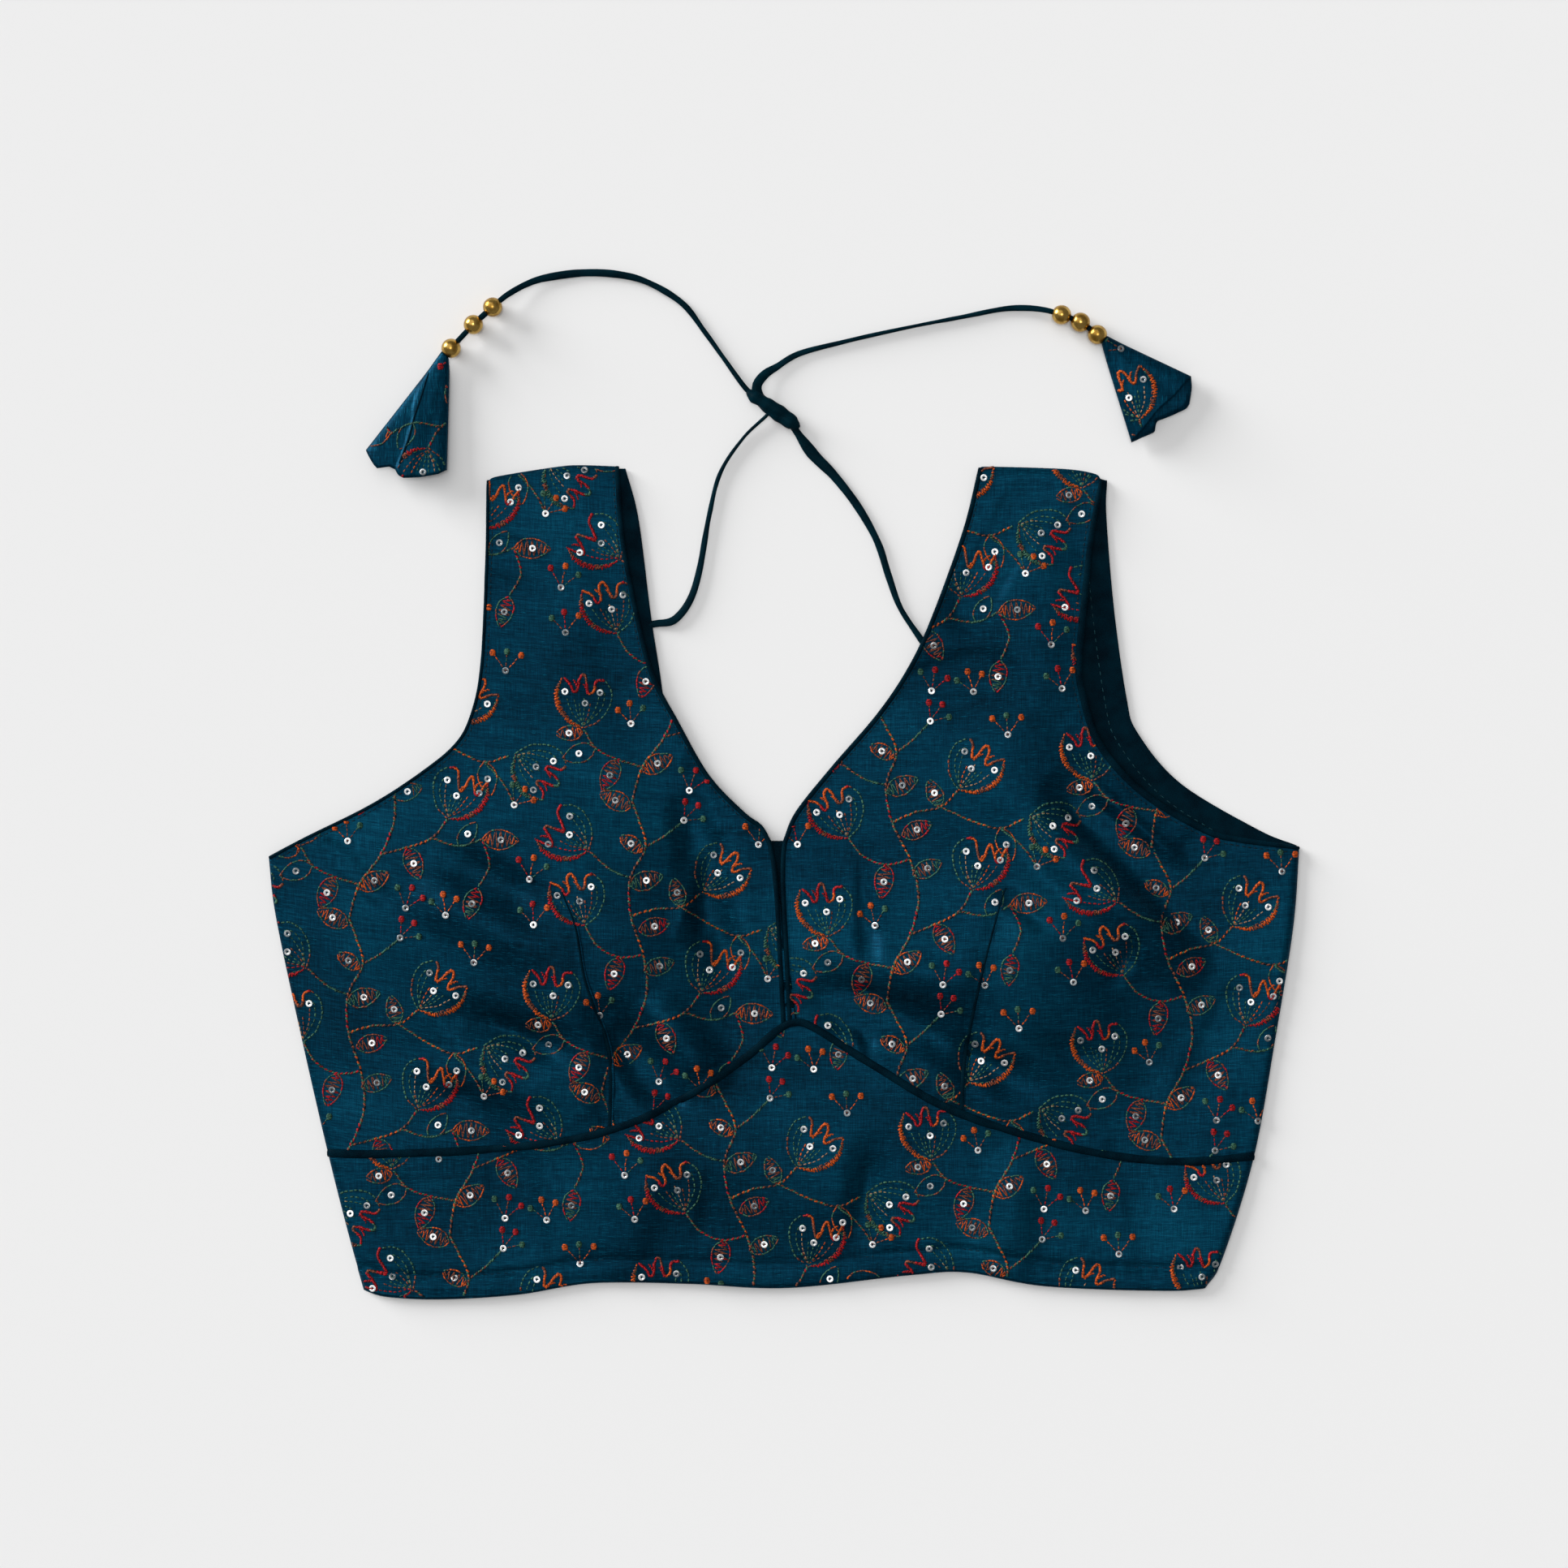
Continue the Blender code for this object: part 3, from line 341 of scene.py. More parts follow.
def line_measure(x, y, line):
    """Distance from a line of points, place along it, and side: positive on its left."""
    best = np.full(np.shape(x), np.inf)
    along = np.zeros(np.shape(x))
    side = np.zeros(np.shape(x))
    gone = lengths_along(line)
    for start, step, before in zip(line, np.diff(line, axis=0), gone):
        squared = step @ step
        t = np.clip(((x - start[0]) * step[0] + (y - start[1]) * step[1]) / squared, 0, 1)
        distance = np.hypot(x - start[0] - t * step[0], y - start[1] - t * step[1])
        nearer = distance < best
        best = np.where(nearer, distance, best)
        along = np.where(nearer, before + t * math.sqrt(squared), along)
        cross = step[0] * (y - start[1]) - step[1] * (x - start[0])
        side = np.where(nearer, np.sign(cross), side)
    return best, along, side


def inside_outline(points, outline):
    """Tell which points lie inside a closed outline."""
    x, y = points.T
    inside = np.zeros(len(points), bool)
    for a, b in zip(outline, np.roll(outline, -1, axis=0)):
        crosses = (a[1] > y) != (b[1] > y)
        rise = b[1] - a[1] if b[1] != a[1] else 1.0
        inside ^= crosses & (x < a[0] + (y - a[1]) * (b[0] - a[0]) / rise)
    return inside


# Height of the cloth.

def rounded(ratio):
    """A soft hump: 1 at the middle, 0 from a ratio of 1 outwards."""
    return np.where(ratio < 1, (1 - np.minimum(ratio, 1) ** 2) ** 2, 0.0)


def soft_noise(x, y, size, seed):
    """Smooth random hills between -1 and 1, about one size apart."""
    cells = 256
    lattice = np.random.default_rng(seed).uniform(-1, 1, (cells, cells))
    across = np.asarray(x) / size + cells / 2
    up = np.asarray(y) / size + cells / 2
    column = np.floor(across).astype(int)
    row = np.floor(up).astype(int)
    s = across - column
    t = up - row
    s = s * s * (3 - 2 * s)
    t = t * t * (3 - 2 * t)
    low = lattice[row % cells, column % cells] * (1 - s)
    low = low + lattice[row % cells, (column + 1) % cells] * s
    high = lattice[(row + 1) % cells, column % cells] * (1 - s)
    high = high + lattice[(row + 1) % cells, (column + 1) % cells] * s
    return low * (1 - t) + high * t


def fold_rise(x, y, folds):
    """Rise and fall of a table of folds, each softer at its ends."""
    rise = np.zeros(np.shape(x))
    for fold in folds:
        line = np.array([fold.start, fold.end])
        distance, along, _ = line_measure(x, y, line)
        along = along / np.linalg.norm(line[1] - line[0])
        rise += fold.rise * rounded(distance / fold.half_width) * (1 - (2 * along - 1) ** 4 / 2)
    return rise


def front_level(x, y):
    """Height of the front cloth's underside above the surface, as in the solids."""
    rise = fold_rise(x, y, FOLDS)
    for swell in SWELLS:
        ratio = np.hypot((x - swell.across) / swell.reach_across, (y - swell.up) / swell.reach_up)
        rise = rise + swell.rise * rounded(ratio)
    level = FRONT_LEVEL + (rise + np.hypot(rise, LEVEL_EASE) - LEVEL_EASE) / 2
    for lift in LIFTS:
        distance, _, _ = line_measure(x, y, np.array([lift.start, lift.end]))
        beyond = np.maximum(0.0, distance - lift.core) / (lift.fade - lift.core)
        level = level + lift.rise * rounded(beyond)
    return level


def dart_rise(x, y):
    """A sewn dart: a groove in a shallow valley, its inner lip higher, gone at its tip."""
    groove_depth, groove_width = 1.0, 1.0
    open_end, tip_reach = 1.15, 6.0
    valley_depth, valley_width = 1.6, 6.5
    lip_rise, lip_width = 0.7, 6.0
    rise = np.zeros(np.shape(x))
    for points in DARTS:
        line = smooth_curve(points, 4)
        distance, along, side = line_measure(x, y, line)
        place = along / lengths_along(line)[-1]
        left = np.clip(open_end - place, 0, 1) ** 0.5
        left = np.where(place > 0.999, left * rounded(distance / tip_reach), left)
        rise -= left * groove_depth * np.exp(-(distance / groove_width) ** 2)
        rise -= left * valley_depth * np.exp(-(distance / valley_width) ** 2)
        inward = side * np.sign(line[0][0])
        rise += left * lip_rise * inward * np.clip(distance, 0, 1) * np.exp(-distance / lip_width)
    return rise


def pucker(x, y, line, reach, depth, seed):
    """Small uneven ripples that run away from a sewn line."""
    distance, along, _ = line_measure(x, y, line)
    fine = soft_noise(along, distance * 0.3, 3.4, seed)
    broad = 0.5 * soft_noise(along, 0 * along, 8.0, seed + 1)
    return depth * (fine + broad) * rounded(distance / reach)


def side_drop(x, y, top):
    """Bend the front down to the back along the side seams and shoulders."""
    reach = 3.6
    seam_top = 1.5
    nearest = np.full(np.shape(x), np.inf)
    for curve in (SIDE_LEFT_CURVE, SIDE_RIGHT_CURVE, SHOULDER_LEFT_CURVE, SHOULDER_RIGHT_CURVE):
        distance, _, _ = line_measure(x, y, curve)
        nearest = np.minimum(nearest, distance)
    near = np.clip(1 - nearest / reach, 0, 1)
    return top - (top - seam_top) * (1 - np.sqrt(1 - near ** 2))


def cloth_waves(x, y):
    """Soft unevenness of cloth that nobody has pressed."""
    waves = 0.55 * soft_noise(x, y, 30.0, 3)
    waves += 0.28 * soft_noise(x + 0.35 * y, y, 14.0, 4)
    waves += 0.05 * soft_noise(x, y, 5.5, 5)
    return waves


def cloth_level(x, y, waves):
    """Top of the front with all its folds, kept just above the back."""
    deeper_folds, deeper_creases, ease, least_gap = 1.35, 3.3, 0.5, 0.5
    lowest = BACK_TOP + CLOTH + least_gap
    top = front_level(x, y) + FRONT_TOP + deeper_folds * fold_rise(x, y, FOLDS)
    top = top + deeper_creases * fold_rise(x, y, CREASES) + waves * cloth_waves(x, y)
    above = top - lowest
    return lowest + (above + np.hypot(above, ease)) / 2


def cup_top(x, y):
    """Top of the cups and straps."""
    waves, pucker_reach, pucker_depth = 1.15, 10.0, 0.34
    top = cloth_level(x, y, waves) + dart_rise(x, y)
    for seed, line in enumerate((SEAM_CURVE, NECK_LEFT_CURVE, NECK_RIGHT_CURVE,
                                 ARMHOLE_LEFT_CURVE, ARMHOLE_RIGHT_CURVE)):
        top = top + pucker(x, y, line, pucker_reach, pucker_depth, 20 + 2 * seed)
    return side_drop(x, y, top)


def belt_top(x, y):
    """Top of the belt, with the groove of its hem stitching."""
    waves, turn_rise, groove_width = 0.9, 0.25, 1.1
    top = cloth_level(x, y, waves)
    distance, _, _ = line_measure(x, y, HEM_CURVE)
    top = top + turn_rise * rounded(np.abs(distance - HEM_TURN / 2) / (HEM_TURN / 2))
    top = top - HEM_GROOVE * np.exp(-((distance - HEM_TURN) / groove_width) ** 2)
    top = top + pucker(x, y, HEM_STITCH_CURVE, 7.0, 0.3, 40)
    top = top + pucker(x, y, SEAM_CURVE, 8.0, 0.2, 42)
    return side_drop(x, y, top)


def back_top(x, y):
    """Top of the back's lined inner face."""
    return BACK_TOP + 0.06 * soft_noise(x, y, 22.0, 60)


def back_under(x, y):
    """The back's outer face, which lies on the surface."""
    return BACK_UNDER + 0.03 * soft_noise(x, y, 26.0, 61)


# Materials. Lengths in texture coordinates are metres.

def new_material(name):
    """A material with its nodes, its links and its shader."""
    material = bpy.data.materials.new(name)
    material.use_nodes = True
    nodes = material.node_tree.nodes
    return material, nodes, material.node_tree.links, nodes["Principled BSDF"]


def add_noise(nodes, links, coordinates, scale, detail=2.0, roughness=0.5):
    """Noise over coordinates stretched by a scale for each axis, in features a metre."""
    mapping = nodes.new("ShaderNodeMapping")
    mapping.inputs["Scale"].default_value = scale
    links.new(coordinates, mapping.inputs["Vector"])
    noise = nodes.new("ShaderNodeTexNoise")
    noise.inputs["Scale"].default_value = 1.0
    noise.inputs["Detail"].default_value = detail
    noise.inputs["Roughness"].default_value = roughness
    links.new(mapping.outputs["Vector"], noise.inputs["Vector"])
    return noise.outputs["Fac"]


def add_ramp(nodes, links, value, stops):
    """Colours by value, from stops of a place and a colour."""
    ramp = nodes.new("ShaderNodeValToRGB")
    elements = ramp.color_ramp.elements
    while len(elements) < len(stops):
        elements.new(0.5)
    for element, (place, colour) in zip(elements, stops):
        element.position = place
        element.color = (*colour, 1.0)
    links.new(value, ramp.inputs["Fac"])
    return ramp.outputs["Color"]


def add_bump(nodes, links, shader, height, strength, distance):
    bump = nodes.new("ShaderNodeBump")
    bump.inputs["Strength"].default_value = strength
    bump.inputs["Distance"].default_value = distance
    links.new(height, bump.inputs["Height"])
    links.new(bump.outputs["Normal"], shader.inputs["Normal"])


def grain_coordinates(nodes):
    node = nodes.new("ShaderNodeUVMap")
    node.uv_map = "grain"
    return node.outputs["UV"]


def weighted_sum(nodes, links, parts):
    """Add up values, each times its weight."""
    total = None
    for value, weight in parts:
        node = nodes.new("ShaderNodeMath")
        node.operation = "MULTIPLY_ADD"
        links.new(value, node.inputs[0])
        node.inputs[1].default_value = weight
        node.inputs[2].default_value = 0.0
        if total is not None:
            links.new(total, node.inputs[2])
        total = node.outputs["Value"]
    return total


def add_range(nodes, links, value, source, target):
    """Map a value from one range to another."""
    node = nodes.new("ShaderNodeMapRange")
    node.inputs["From Min"].default_value, node.inputs["From Max"].default_value = source
    node.inputs["To Min"].default_value, node.inputs["To Max"].default_value = target
    links.new(value, node.inputs["Value"])
    return node.outputs["Result"]


def slub_silk(name, dark, middle, light):
    """Raw silk: uneven threads across, a finer warp, pale slubs, a soft sheen, and broad soft
    mottling that is painted fold shade.
    """
    material, nodes, links, shader = new_material(name)
    grain = grain_coordinates(nodes)
    band = add_noise(nodes, links, grain, (30.0, 850.0, 1.0), 3.0, 0.6)
    weft = add_noise(nodes, links, grain, (190.0, 3000.0, 1.0), 2.0)
    warp = add_noise(nodes, links, grain, (2600.0, 110.0, 1.0), 1.0)
    # Painted shade: broad soft patches darkened and lightened in the colour, standing in for the
    # shading of folds.
    painted_fold_shade = add_noise(nodes, links, grain, (13.0, 17.0, 1.0), 2.0)
    slub = add_noise(nodes, links, grain, (210.0, 3600.0, 1.0), 1.0)
    pale = add_range(nodes, links, slub, (0.62, 0.74), (0.0, 1.0))
    parts = [(band, 0.22), (weft, 0.28), (warp, 0.2), (painted_fold_shade, 0.3), (pale, 0.4)]
    tone = weighted_sum(nodes, links, parts)
    colour = add_ramp(nodes, links, tone, [(0.38, dark), (0.51, middle), (0.7, light)])
    links.new(colour, shader.inputs["Base Color"])
    rough = add_range(nodes, links, tone, (0.4, 0.65), (0.5, 0.38))
    links.new(rough, shader.inputs["Roughness"])
    shader.inputs["Metallic"].default_value = 0.52
    shader.inputs["Specular IOR Level"].default_value = 0.03
    shader.inputs["Sheen Weight"].default_value = 0.02
    shader.inputs["Sheen Roughness"].default_value = 0.4
    shader.inputs["Sheen Tint"].default_value = (0.05, 0.5, 0.7, 1.0)
    add_bump(nodes, links, shader, tone, 0.4, 0.0003)
    return material


def plain_weave(name, dark, light, roughness=0.62):
    """Plain dark cloth of the lining, pipings and cords."""
    material, nodes, links, shader = new_material(name)
    coordinates = nodes.new("ShaderNodeTexCoord").outputs["Object"]
    weave = add_noise(nodes, links, coordinates, (2600.0, 2600.0, 2600.0), 1.0)
    drift = add_noise(nodes, links, coordinates, (120.0, 120.0, 120.0), 2.0)
    tone = weighted_sum(nodes, links, [(weave, 0.5), (drift, 0.5)])
    links.new(add_ramp(nodes, links, tone, [(0.35, dark), (0.68, light)]),
              shader.inputs["Base Color"])
    shader.inputs["Roughness"].default_value = roughness
    shader.inputs["Specular IOR Level"].default_value = 0.015
    shader.inputs["Sheen Weight"].default_value = 0.006
    shader.inputs["Sheen Tint"].default_value = (0.1, 0.5, 0.65, 1.0)
    add_bump(nodes, links, shader, tone, 0.3, 0.0002)
    return material


def thread_material(name, dark, light):
    """Twisted embroidery thread."""
    material, nodes, links, shader = new_material(name)
    coordinates = nodes.new("ShaderNodeTexCoord").outputs["Object"]
    twist = add_noise(nodes, links, coordinates, (1500.0, 1500.0, 900.0), 2.0)
    links.new(add_ramp(nodes, links, twist, [(0.36, dark), (0.62, light)]),
              shader.inputs["Base Color"])
    shader.inputs["Roughness"].default_value = 0.5
    shader.inputs["Specular IOR Level"].default_value = 0.15
    add_bump(nodes, links, shader, twist, 0.25, 0.0001)
    return material


def metal_material(name, dark, light, roughness, scale):
    """Worn metal with darker patches."""
    material, nodes, links, shader = new_material(name)
    coordinates = nodes.new("ShaderNodeTexCoord").outputs["Object"]
    patina = add_noise(nodes, links, coordinates, (scale, scale, scale), 3.0)
    links.new(add_ramp(nodes, links, patina, [(0.38, dark), (0.6, light)]),
              shader.inputs["Base Color"])
    shader.inputs["Metallic"].default_value = 1.0
    rough = add_range(nodes, links, patina, (0.3, 0.7), (roughness + 0.12, roughness - 0.06))
    links.new(rough, shader.inputs["Roughness"])
    return material


def sequin_material():
    """White sequin foil, made dark grey in places by a noise: painted reflection, as foil looks
    where it mirrors the dark.
    """
    material, nodes, links, shader = new_material("sequin_foil")
    coordinates = nodes.new("ShaderNodeTexCoord").outputs["Object"]
    painted_reflection = add_noise(nodes, links, coordinates, (90.0, 90.0, 90.0), 1.0)
    # Painted reflection: grey where a sequin would mirror the dark, white where it would catch the
    # light.
    stops = [(0.42, (0.16, 0.18, 0.19)), (0.57, (0.8, 0.81, 0.81))]
    links.new(add_ramp(nodes, links, painted_reflection, stops), shader.inputs["Base Color"])
    shader.inputs["Metallic"].default_value = 0.35
    shader.inputs["Roughness"].default_value = 0.22
    return material


# The silk's colours run from its colour in shade to its colour where lit: partly the silk's own
# uneven tone, partly painted shade and light spread by the broad mottling.
silk = slub_silk("teal_silk", (0.0, 0.0076, 0.0157), (0.0, 0.0207, 0.0425),
                 (0.001, 0.0565, 0.1))
lining = plain_weave("dark_lining", (0.0, 0.003, 0.0065), (0.0, 0.0125, 0.022))
cord_silk = plain_weave("cord_silk", (0.0, 0.005, 0.009), (0.0006, 0.016, 0.025), 0.5)
gold = metal_material("antique_gold", (0.3, 0.165, 0.03), (0.52, 0.33, 0.085), 0.22, 320.0)
foil = sequin_material()
RED, ORANGE, GREEN, RUST, PEACH, NAVY, TEAL = range(7)
THREADS = [
    thread_material("thread_red", (0.06, 0.002, 0.004), (0.4, 0.008, 0.012)),
    thread_material("thread_orange", (0.12, 0.017, 0.004), (0.58, 0.095, 0.01)),
    thread_material("thread_green", (0.003, 0.019, 0.014), (0.045, 0.135, 0.085)),
    thread_material("thread_rust", (0.028, 0.008, 0.006), (0.23, 0.064, 0.032)),
    thread_material("thread_peach", (0.1, 0.05, 0.028), (0.36, 0.22, 0.13)),
    thread_material("thread_navy", (0.0004, 0.004, 0.008), (0.001, 0.012, 0.02)),
    thread_material("thread_teal", (0.001, 0.014, 0.022), (0.006, 0.05, 0.066)),
]


# Meshes.

def finish_piece(name, vertices, faces, materials, replaced=(), face_materials=None):
    """Make a piece from points in millimetres, which rides on the blouse's one body."""
    mesh = bpy.data.meshes.new(name)
    mesh.from_pydata(np.asarray(vertices) * MM, [], faces)
    for material in materials:
        mesh.materials.append(material)
    if face_materials is not None:
        mesh.polygons.foreach_set("material_index", np.asarray(face_materials, np.int32))
    mesh.shade_smooth()
    mesh.validate()
    piece = bpy.data.objects.new(name, mesh)
    bpy.context.scene.collection.objects.link(piece)
    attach(piece, BODY)
    if replaced:
        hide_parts(*replaced)
    return piece


def set_grain(piece, grain):
    """Give each point of a piece its place along and across the cloth's threads, in metres."""
    layer = piece.data.uv_layers.new(name="grain")
    corners = np.empty(len(piece.data.loops), np.int32)
    piece.data.loops.foreach_get("vertex_index", corners)
    layer.data.foreach_set("uv", (np.asarray(grain) * MM)[corners].ravel())


def grid_faces(rows, columns, offset=0, flip=False):
    """Faces of a grid of points whose numbers start at an offset."""
    row, column = np.meshgrid(np.arange(rows - 1), np.arange(columns - 1), indexing="ij")
    corner = (offset + row * columns + column).ravel()
    order = [corner, corner + 1, corner + columns + 1, corner + columns]
    return np.column_stack(order[::-1] if flip else order)


def ring_faces(count, sides):
    """Faces of a tube through a number of rings of points, closed at both ends."""
    faces = [list(range(sides))[::-1]]
    for first in range(0, (count - 1) * sides, sides):
        for side in range(sides):
            after = (side + 1) % sides
            faces.append([first + side, first + after, first + sides + after,
                          first + sides + side])
    return faces + [list(range((count - 1) * sides, count * sides))]


def wrapped_faces(rows, columns):
    """Faces of a grid of points whose rows and columns both close on themselves."""
    faces = []
    for row in range(rows):
        for column in range(columns):
            below, after = (row + 1) % rows, (column + 1) % columns
            faces.append([row * columns + column, below * columns + column,
                          below * columns + after, row * columns + after])
    return faces


def border(rows, columns):
    """Indices round a grid, anticlockwise."""
    bottom = np.arange(columns)
    right = np.arange(1, rows) * columns + columns - 1
    top = (rows - 1) * columns + np.arange(columns - 2, -1, -1)
    left = np.arange(rows - 2, 0, -1) * columns
    return np.concatenate([bottom, right, top, left])


def grain_of(points, bow):
    """Thread directions: level in the middle, and tilting towards the sides by a bow."""
    x, y = points[..., 0], points[..., 1]
    return np.stack([x, y - bow * x * np.abs(x) * np.sign(x)], axis=-1)


def cloth_piece(name, grid, top, under, bow, materials, replaced):
    """A thin shell with a rounded rim between a top and an underside."""
    rim_bulge = 0.35
    rows, columns = grid.shape[:2]
    flat = grid.reshape(-1, 2)
    count = len(flat)
    rim = border(rows, columns)
    loop = flat[rim]
    ahead = np.roll(loop, -1, axis=0) - np.roll(loop, 1, axis=0)
    outward = np.column_stack([ahead[:, 1], -ahead[:, 0]])
    outward /= np.linalg.norm(outward, axis=1)[:, None] + 1e-9
    depth = (top - under).ravel()[rim]
    middle = (top + under).ravel()[rim] / 2
    rim_points = loop + outward * (rim_bulge * depth)[:, None]
    vertices = np.vstack([
        np.column_stack([flat, top.ravel()]),
        np.column_stack([flat, under.ravel()]),
        np.column_stack([rim_points, middle]),
    ])
    ring = 2 * count + np.arange(len(rim))
    after = np.roll(np.arange(len(rim)), -1)
    upper = np.column_stack([rim, ring, ring[after], rim[after]])
    lower = np.column_stack([ring, rim + count, rim[after] + count, ring[after]])
    top_faces = grid_faces(rows, columns)
    under_faces = grid_faces(rows, columns, count, True)
    faces = np.vstack([top_faces, under_faces, upper, lower])
    face_materials = np.zeros(len(faces), np.int32)
    face_materials[len(top_faces):len(top_faces) + len(under_faces)] = len(materials) - 1
    piece = finish_piece(name, vertices, faces.tolist(), materials, replaced,
                         face_materials)
    grain = grain_of(flat, bow)
    set_grain(piece, np.vstack([grain, grain, grain[rim]]))
    return piece


def tube_piece(name, path, half_width, half_height, material, replaced=(),
               sides=10, twist=0.0):
    """A tube of flattened section along a path of points (across, up, level)."""
    end_shift, end_scale = 0.35, 0.55
    path = np.asarray(path, float)
    direction = np.gradient(path, axis=0)
    direction /= np.linalg.norm(direction, axis=1)[:, None]
    aside = np.column_stack([-direction[:, 1], direction[:, 0], np.zeros(len(path))])
    aside /= np.linalg.norm(aside, axis=1)[:, None]
    above = np.cross(direction, aside)
    turn = np.broadcast_to(twist, len(path))[:, None]
    wide = aside * np.cos(turn) + above * np.sin(turn)
    tall = above * np.cos(turn) - aside * np.sin(turn)
    half_width = np.broadcast_to(half_width, len(path))
    half_height = np.broadcast_to(half_height, len(path))
    sections = [(0, -end_shift, end_scale)]
    sections += [(index, 0.0, 1.0) for index in range(len(path))]
    sections += [(len(path) - 1, end_shift, end_scale)]
    angle = 2 * np.pi * np.arange(sides) / sides
    rings = []
    for index, shift, scale in sections:
        centre = path[index] + direction[index] * shift * half_height[index]
        ring = centre + np.outer(np.cos(angle) * half_width[index] * scale, wide[index])
        rings.append(ring + np.outer(np.sin(angle) * half_height[index] * scale, tall[index]))
    vertices = np.vstack(rings)
    faces = ring_faces(len(rings), sides)
    piece = finish_piece(name, vertices, faces, [material], replaced)
    set_grain(piece, vertices[:, :2])
    return piece


# Shared curves.

SIDE_LEFT_CURVE = smooth_curve(LEFT_SIDE)
SIDE_RIGHT_CURVE = smooth_curve(RIGHT_SIDE)
SHOULDER_LEFT_CURVE = smooth_curve(LEFT_SHOULDER, 4)
SHOULDER_RIGHT_CURVE = smooth_curve(RIGHT_SHOULDER, 4)
NECK_LEFT_CURVE = smooth_curve(LEFT_NECK, 6)
NECK_RIGHT_CURVE = smooth_curve(RIGHT_NECK, 6)
ARMHOLE_LEFT_CURVE = smooth_curve(LEFT_ARMHOLE, 6)
ARMHOLE_RIGHT_CURVE = smooth_curve(RIGHT_ARMHOLE, 6)
SEAM_CURVE = smooth_curve(BELT_SEAM, 6)
HEM_CURVE = smooth_curve(HEM, 6)
HEM_STITCH_CURVE = moved_aside(HEM_CURVE, HEM_TURN)


def slit_edge(sign, places):
    """Edge of the front slit from foot to notch, on the half with this sign."""
    flare = 9
    across = SLIT_FOOT_ACROSS + (SLIT_TOP_ACROSS - SLIT_FOOT_ACROSS) * places
    half_gap = SLIT_FOOT_HALF_GAP + (SLIT_TOP_HALF_GAP - SLIT_FOOT_HALF_GAP) * places ** flare
    up = SLIT_FOOT_HEIGHT + (NOTCH_HEIGHT - SLIT_FOOT_HEIGHT) * places
    return np.column_stack([across + sign * half_gap, up])


def outline_of(grid):
    """The points round a grid."""
    rows, columns = grid.shape[:2]
    return grid.reshape(-1, 2)[border(rows, columns)]


def stacked_patches(sign, lower, upper, bottom, top):
    """A patch with another on it: lower and upper are each one's outer and inner edge."""
    if sign > 0:
        lower, upper = lower[::-1], upper[::-1]
    bottom[0] = lower[0][0]
    bottom[-1] = lower[1][0]
    ends = np.array([lower[0][-1], lower[1][-1]])
    between = sampled(ends, denser_ends(len(bottom) - 1))
    return np.concatenate([patch(*lower, bottom, between), patch(*upper, between, top)[1:]])


def front_grid(half, columns=96, cup_rows=84, strap_rows=108):
    """Points of a cup and of the strap above it, a little inside the outline."""
    sign = half.sign
    neck = np.vstack([slit_edge(sign, even(cup_rows)),
                      sampled(smooth_curve(half.neck), even(strap_rows))[1:]])
    neck = moved_aside(neck, -sign * EDGE_TUCK)
    armhole = sampled(smooth_curve(half.armhole), even(strap_rows))
    armhole = moved_aside(armhole, sign * EDGE_TUCK)
    seam = smooth_curve(BELT_SEAM)
    peak = int(np.argmax(seam[:, 1]))
    seam = seam[:peak + 1] if sign < 0 else seam[peak:]
    bottom = moved_aside(sampled(seam, denser_ends(columns)), SEAM_TUCK)
    foot = bottom[0 if sign < 0 else -1][1]
    outer = between_heights(smooth_curve(half.side), foot, armhole[0][1])
    outer = sampled(outer, even(cup_rows))
    armhole[0] = outer[-1]
    shoulder = sampled(smooth_curve(half.shoulder), denser_ends(columns))
    return stacked_patches(sign, (outer, neck[:cup_rows + 1]), (armhole, neck[cup_rows:]),
                           bottom, shoulder)


def belt_grid(columns=200, rows=40):
    """Points of the belt, from the hem to a little below the seam."""
    across, up = denser_ends(columns, 0.5), denser_ends(rows, 0.5)
    top = moved_aside(sampled(smooth_curve(BELT_SEAM), across), -SEAM_TUCK)
    left, right = [sampled(between_heights(curve, curve[0][1], end[1]), up)
                   for curve, end in ((SIDE_LEFT_CURVE, top[0]), (SIDE_RIGHT_CURVE, top[-1]))]
    top[0] = left[-1]
    top[-1] = right[-1]
    return patch(left, right, sampled(smooth_curve(HEM), across), top)


def back_grid(half, columns=60, body_rows=50, strap_rows=70):
    """Points of a half of the back, a little inside the outline."""
    neck_tuck, armhole_tuck, underarm_ease = 0.5, 0.6, 0.4
    sign = half.sign
    inner_end, outer_end = (0, -1) if sign > 0 else (-1, 0)
    centre = CENTRE_BACK + sign * SEAM_GAP / 2
    hem = smooth_curve(HEM) + [0.0, BACK_HEM_INSET]
    hem = hem[sign * (hem[:, 0] - centre) > 0]
    hem[inner_end][0] = centre
    hem = sampled(hem, denser_ends(columns))
    neck = sampled(smooth_curve(half.back_neck), even(strap_rows))
    neck = moved_aside(neck, -sign * neck_tuck)
    neck[0] = [centre, BACK_NECK_DEPTH - neck_tuck]
    centre_line = sampled(np.array([hem[inner_end], neck[0]]), even(body_rows))
    armhole = sampled(smooth_curve(half.back_armhole), even(strap_rows))
    armhole = moved_aside(armhole, sign * armhole_tuck)
    outer = between_heights(smooth_curve(half.side), hem[outer_end][1],
                            armhole[0][1] - underarm_ease)
    outer = sampled(outer, even(body_rows))
    outer[:, 0] -= sign * BACK_SIDE_INSET
    armhole[0] = outer[-1]
    shoulder = sampled(smooth_curve(half.back_shoulder), denser_ends(columns))
    return stacked_patches(sign, (outer, centre_line), (armhole, neck), hem, shoulder)


front_grids = {half.name: front_grid(half) for half in HALVES}
back_grids = {half.name: back_grid(half) for half in HALVES}
the_belt_grid = belt_grid()

# The flat cut of what shows of each panel in metres, its area on one side, and what is under it.
Cut = namedtuple("Cut", "width length area rests_on")


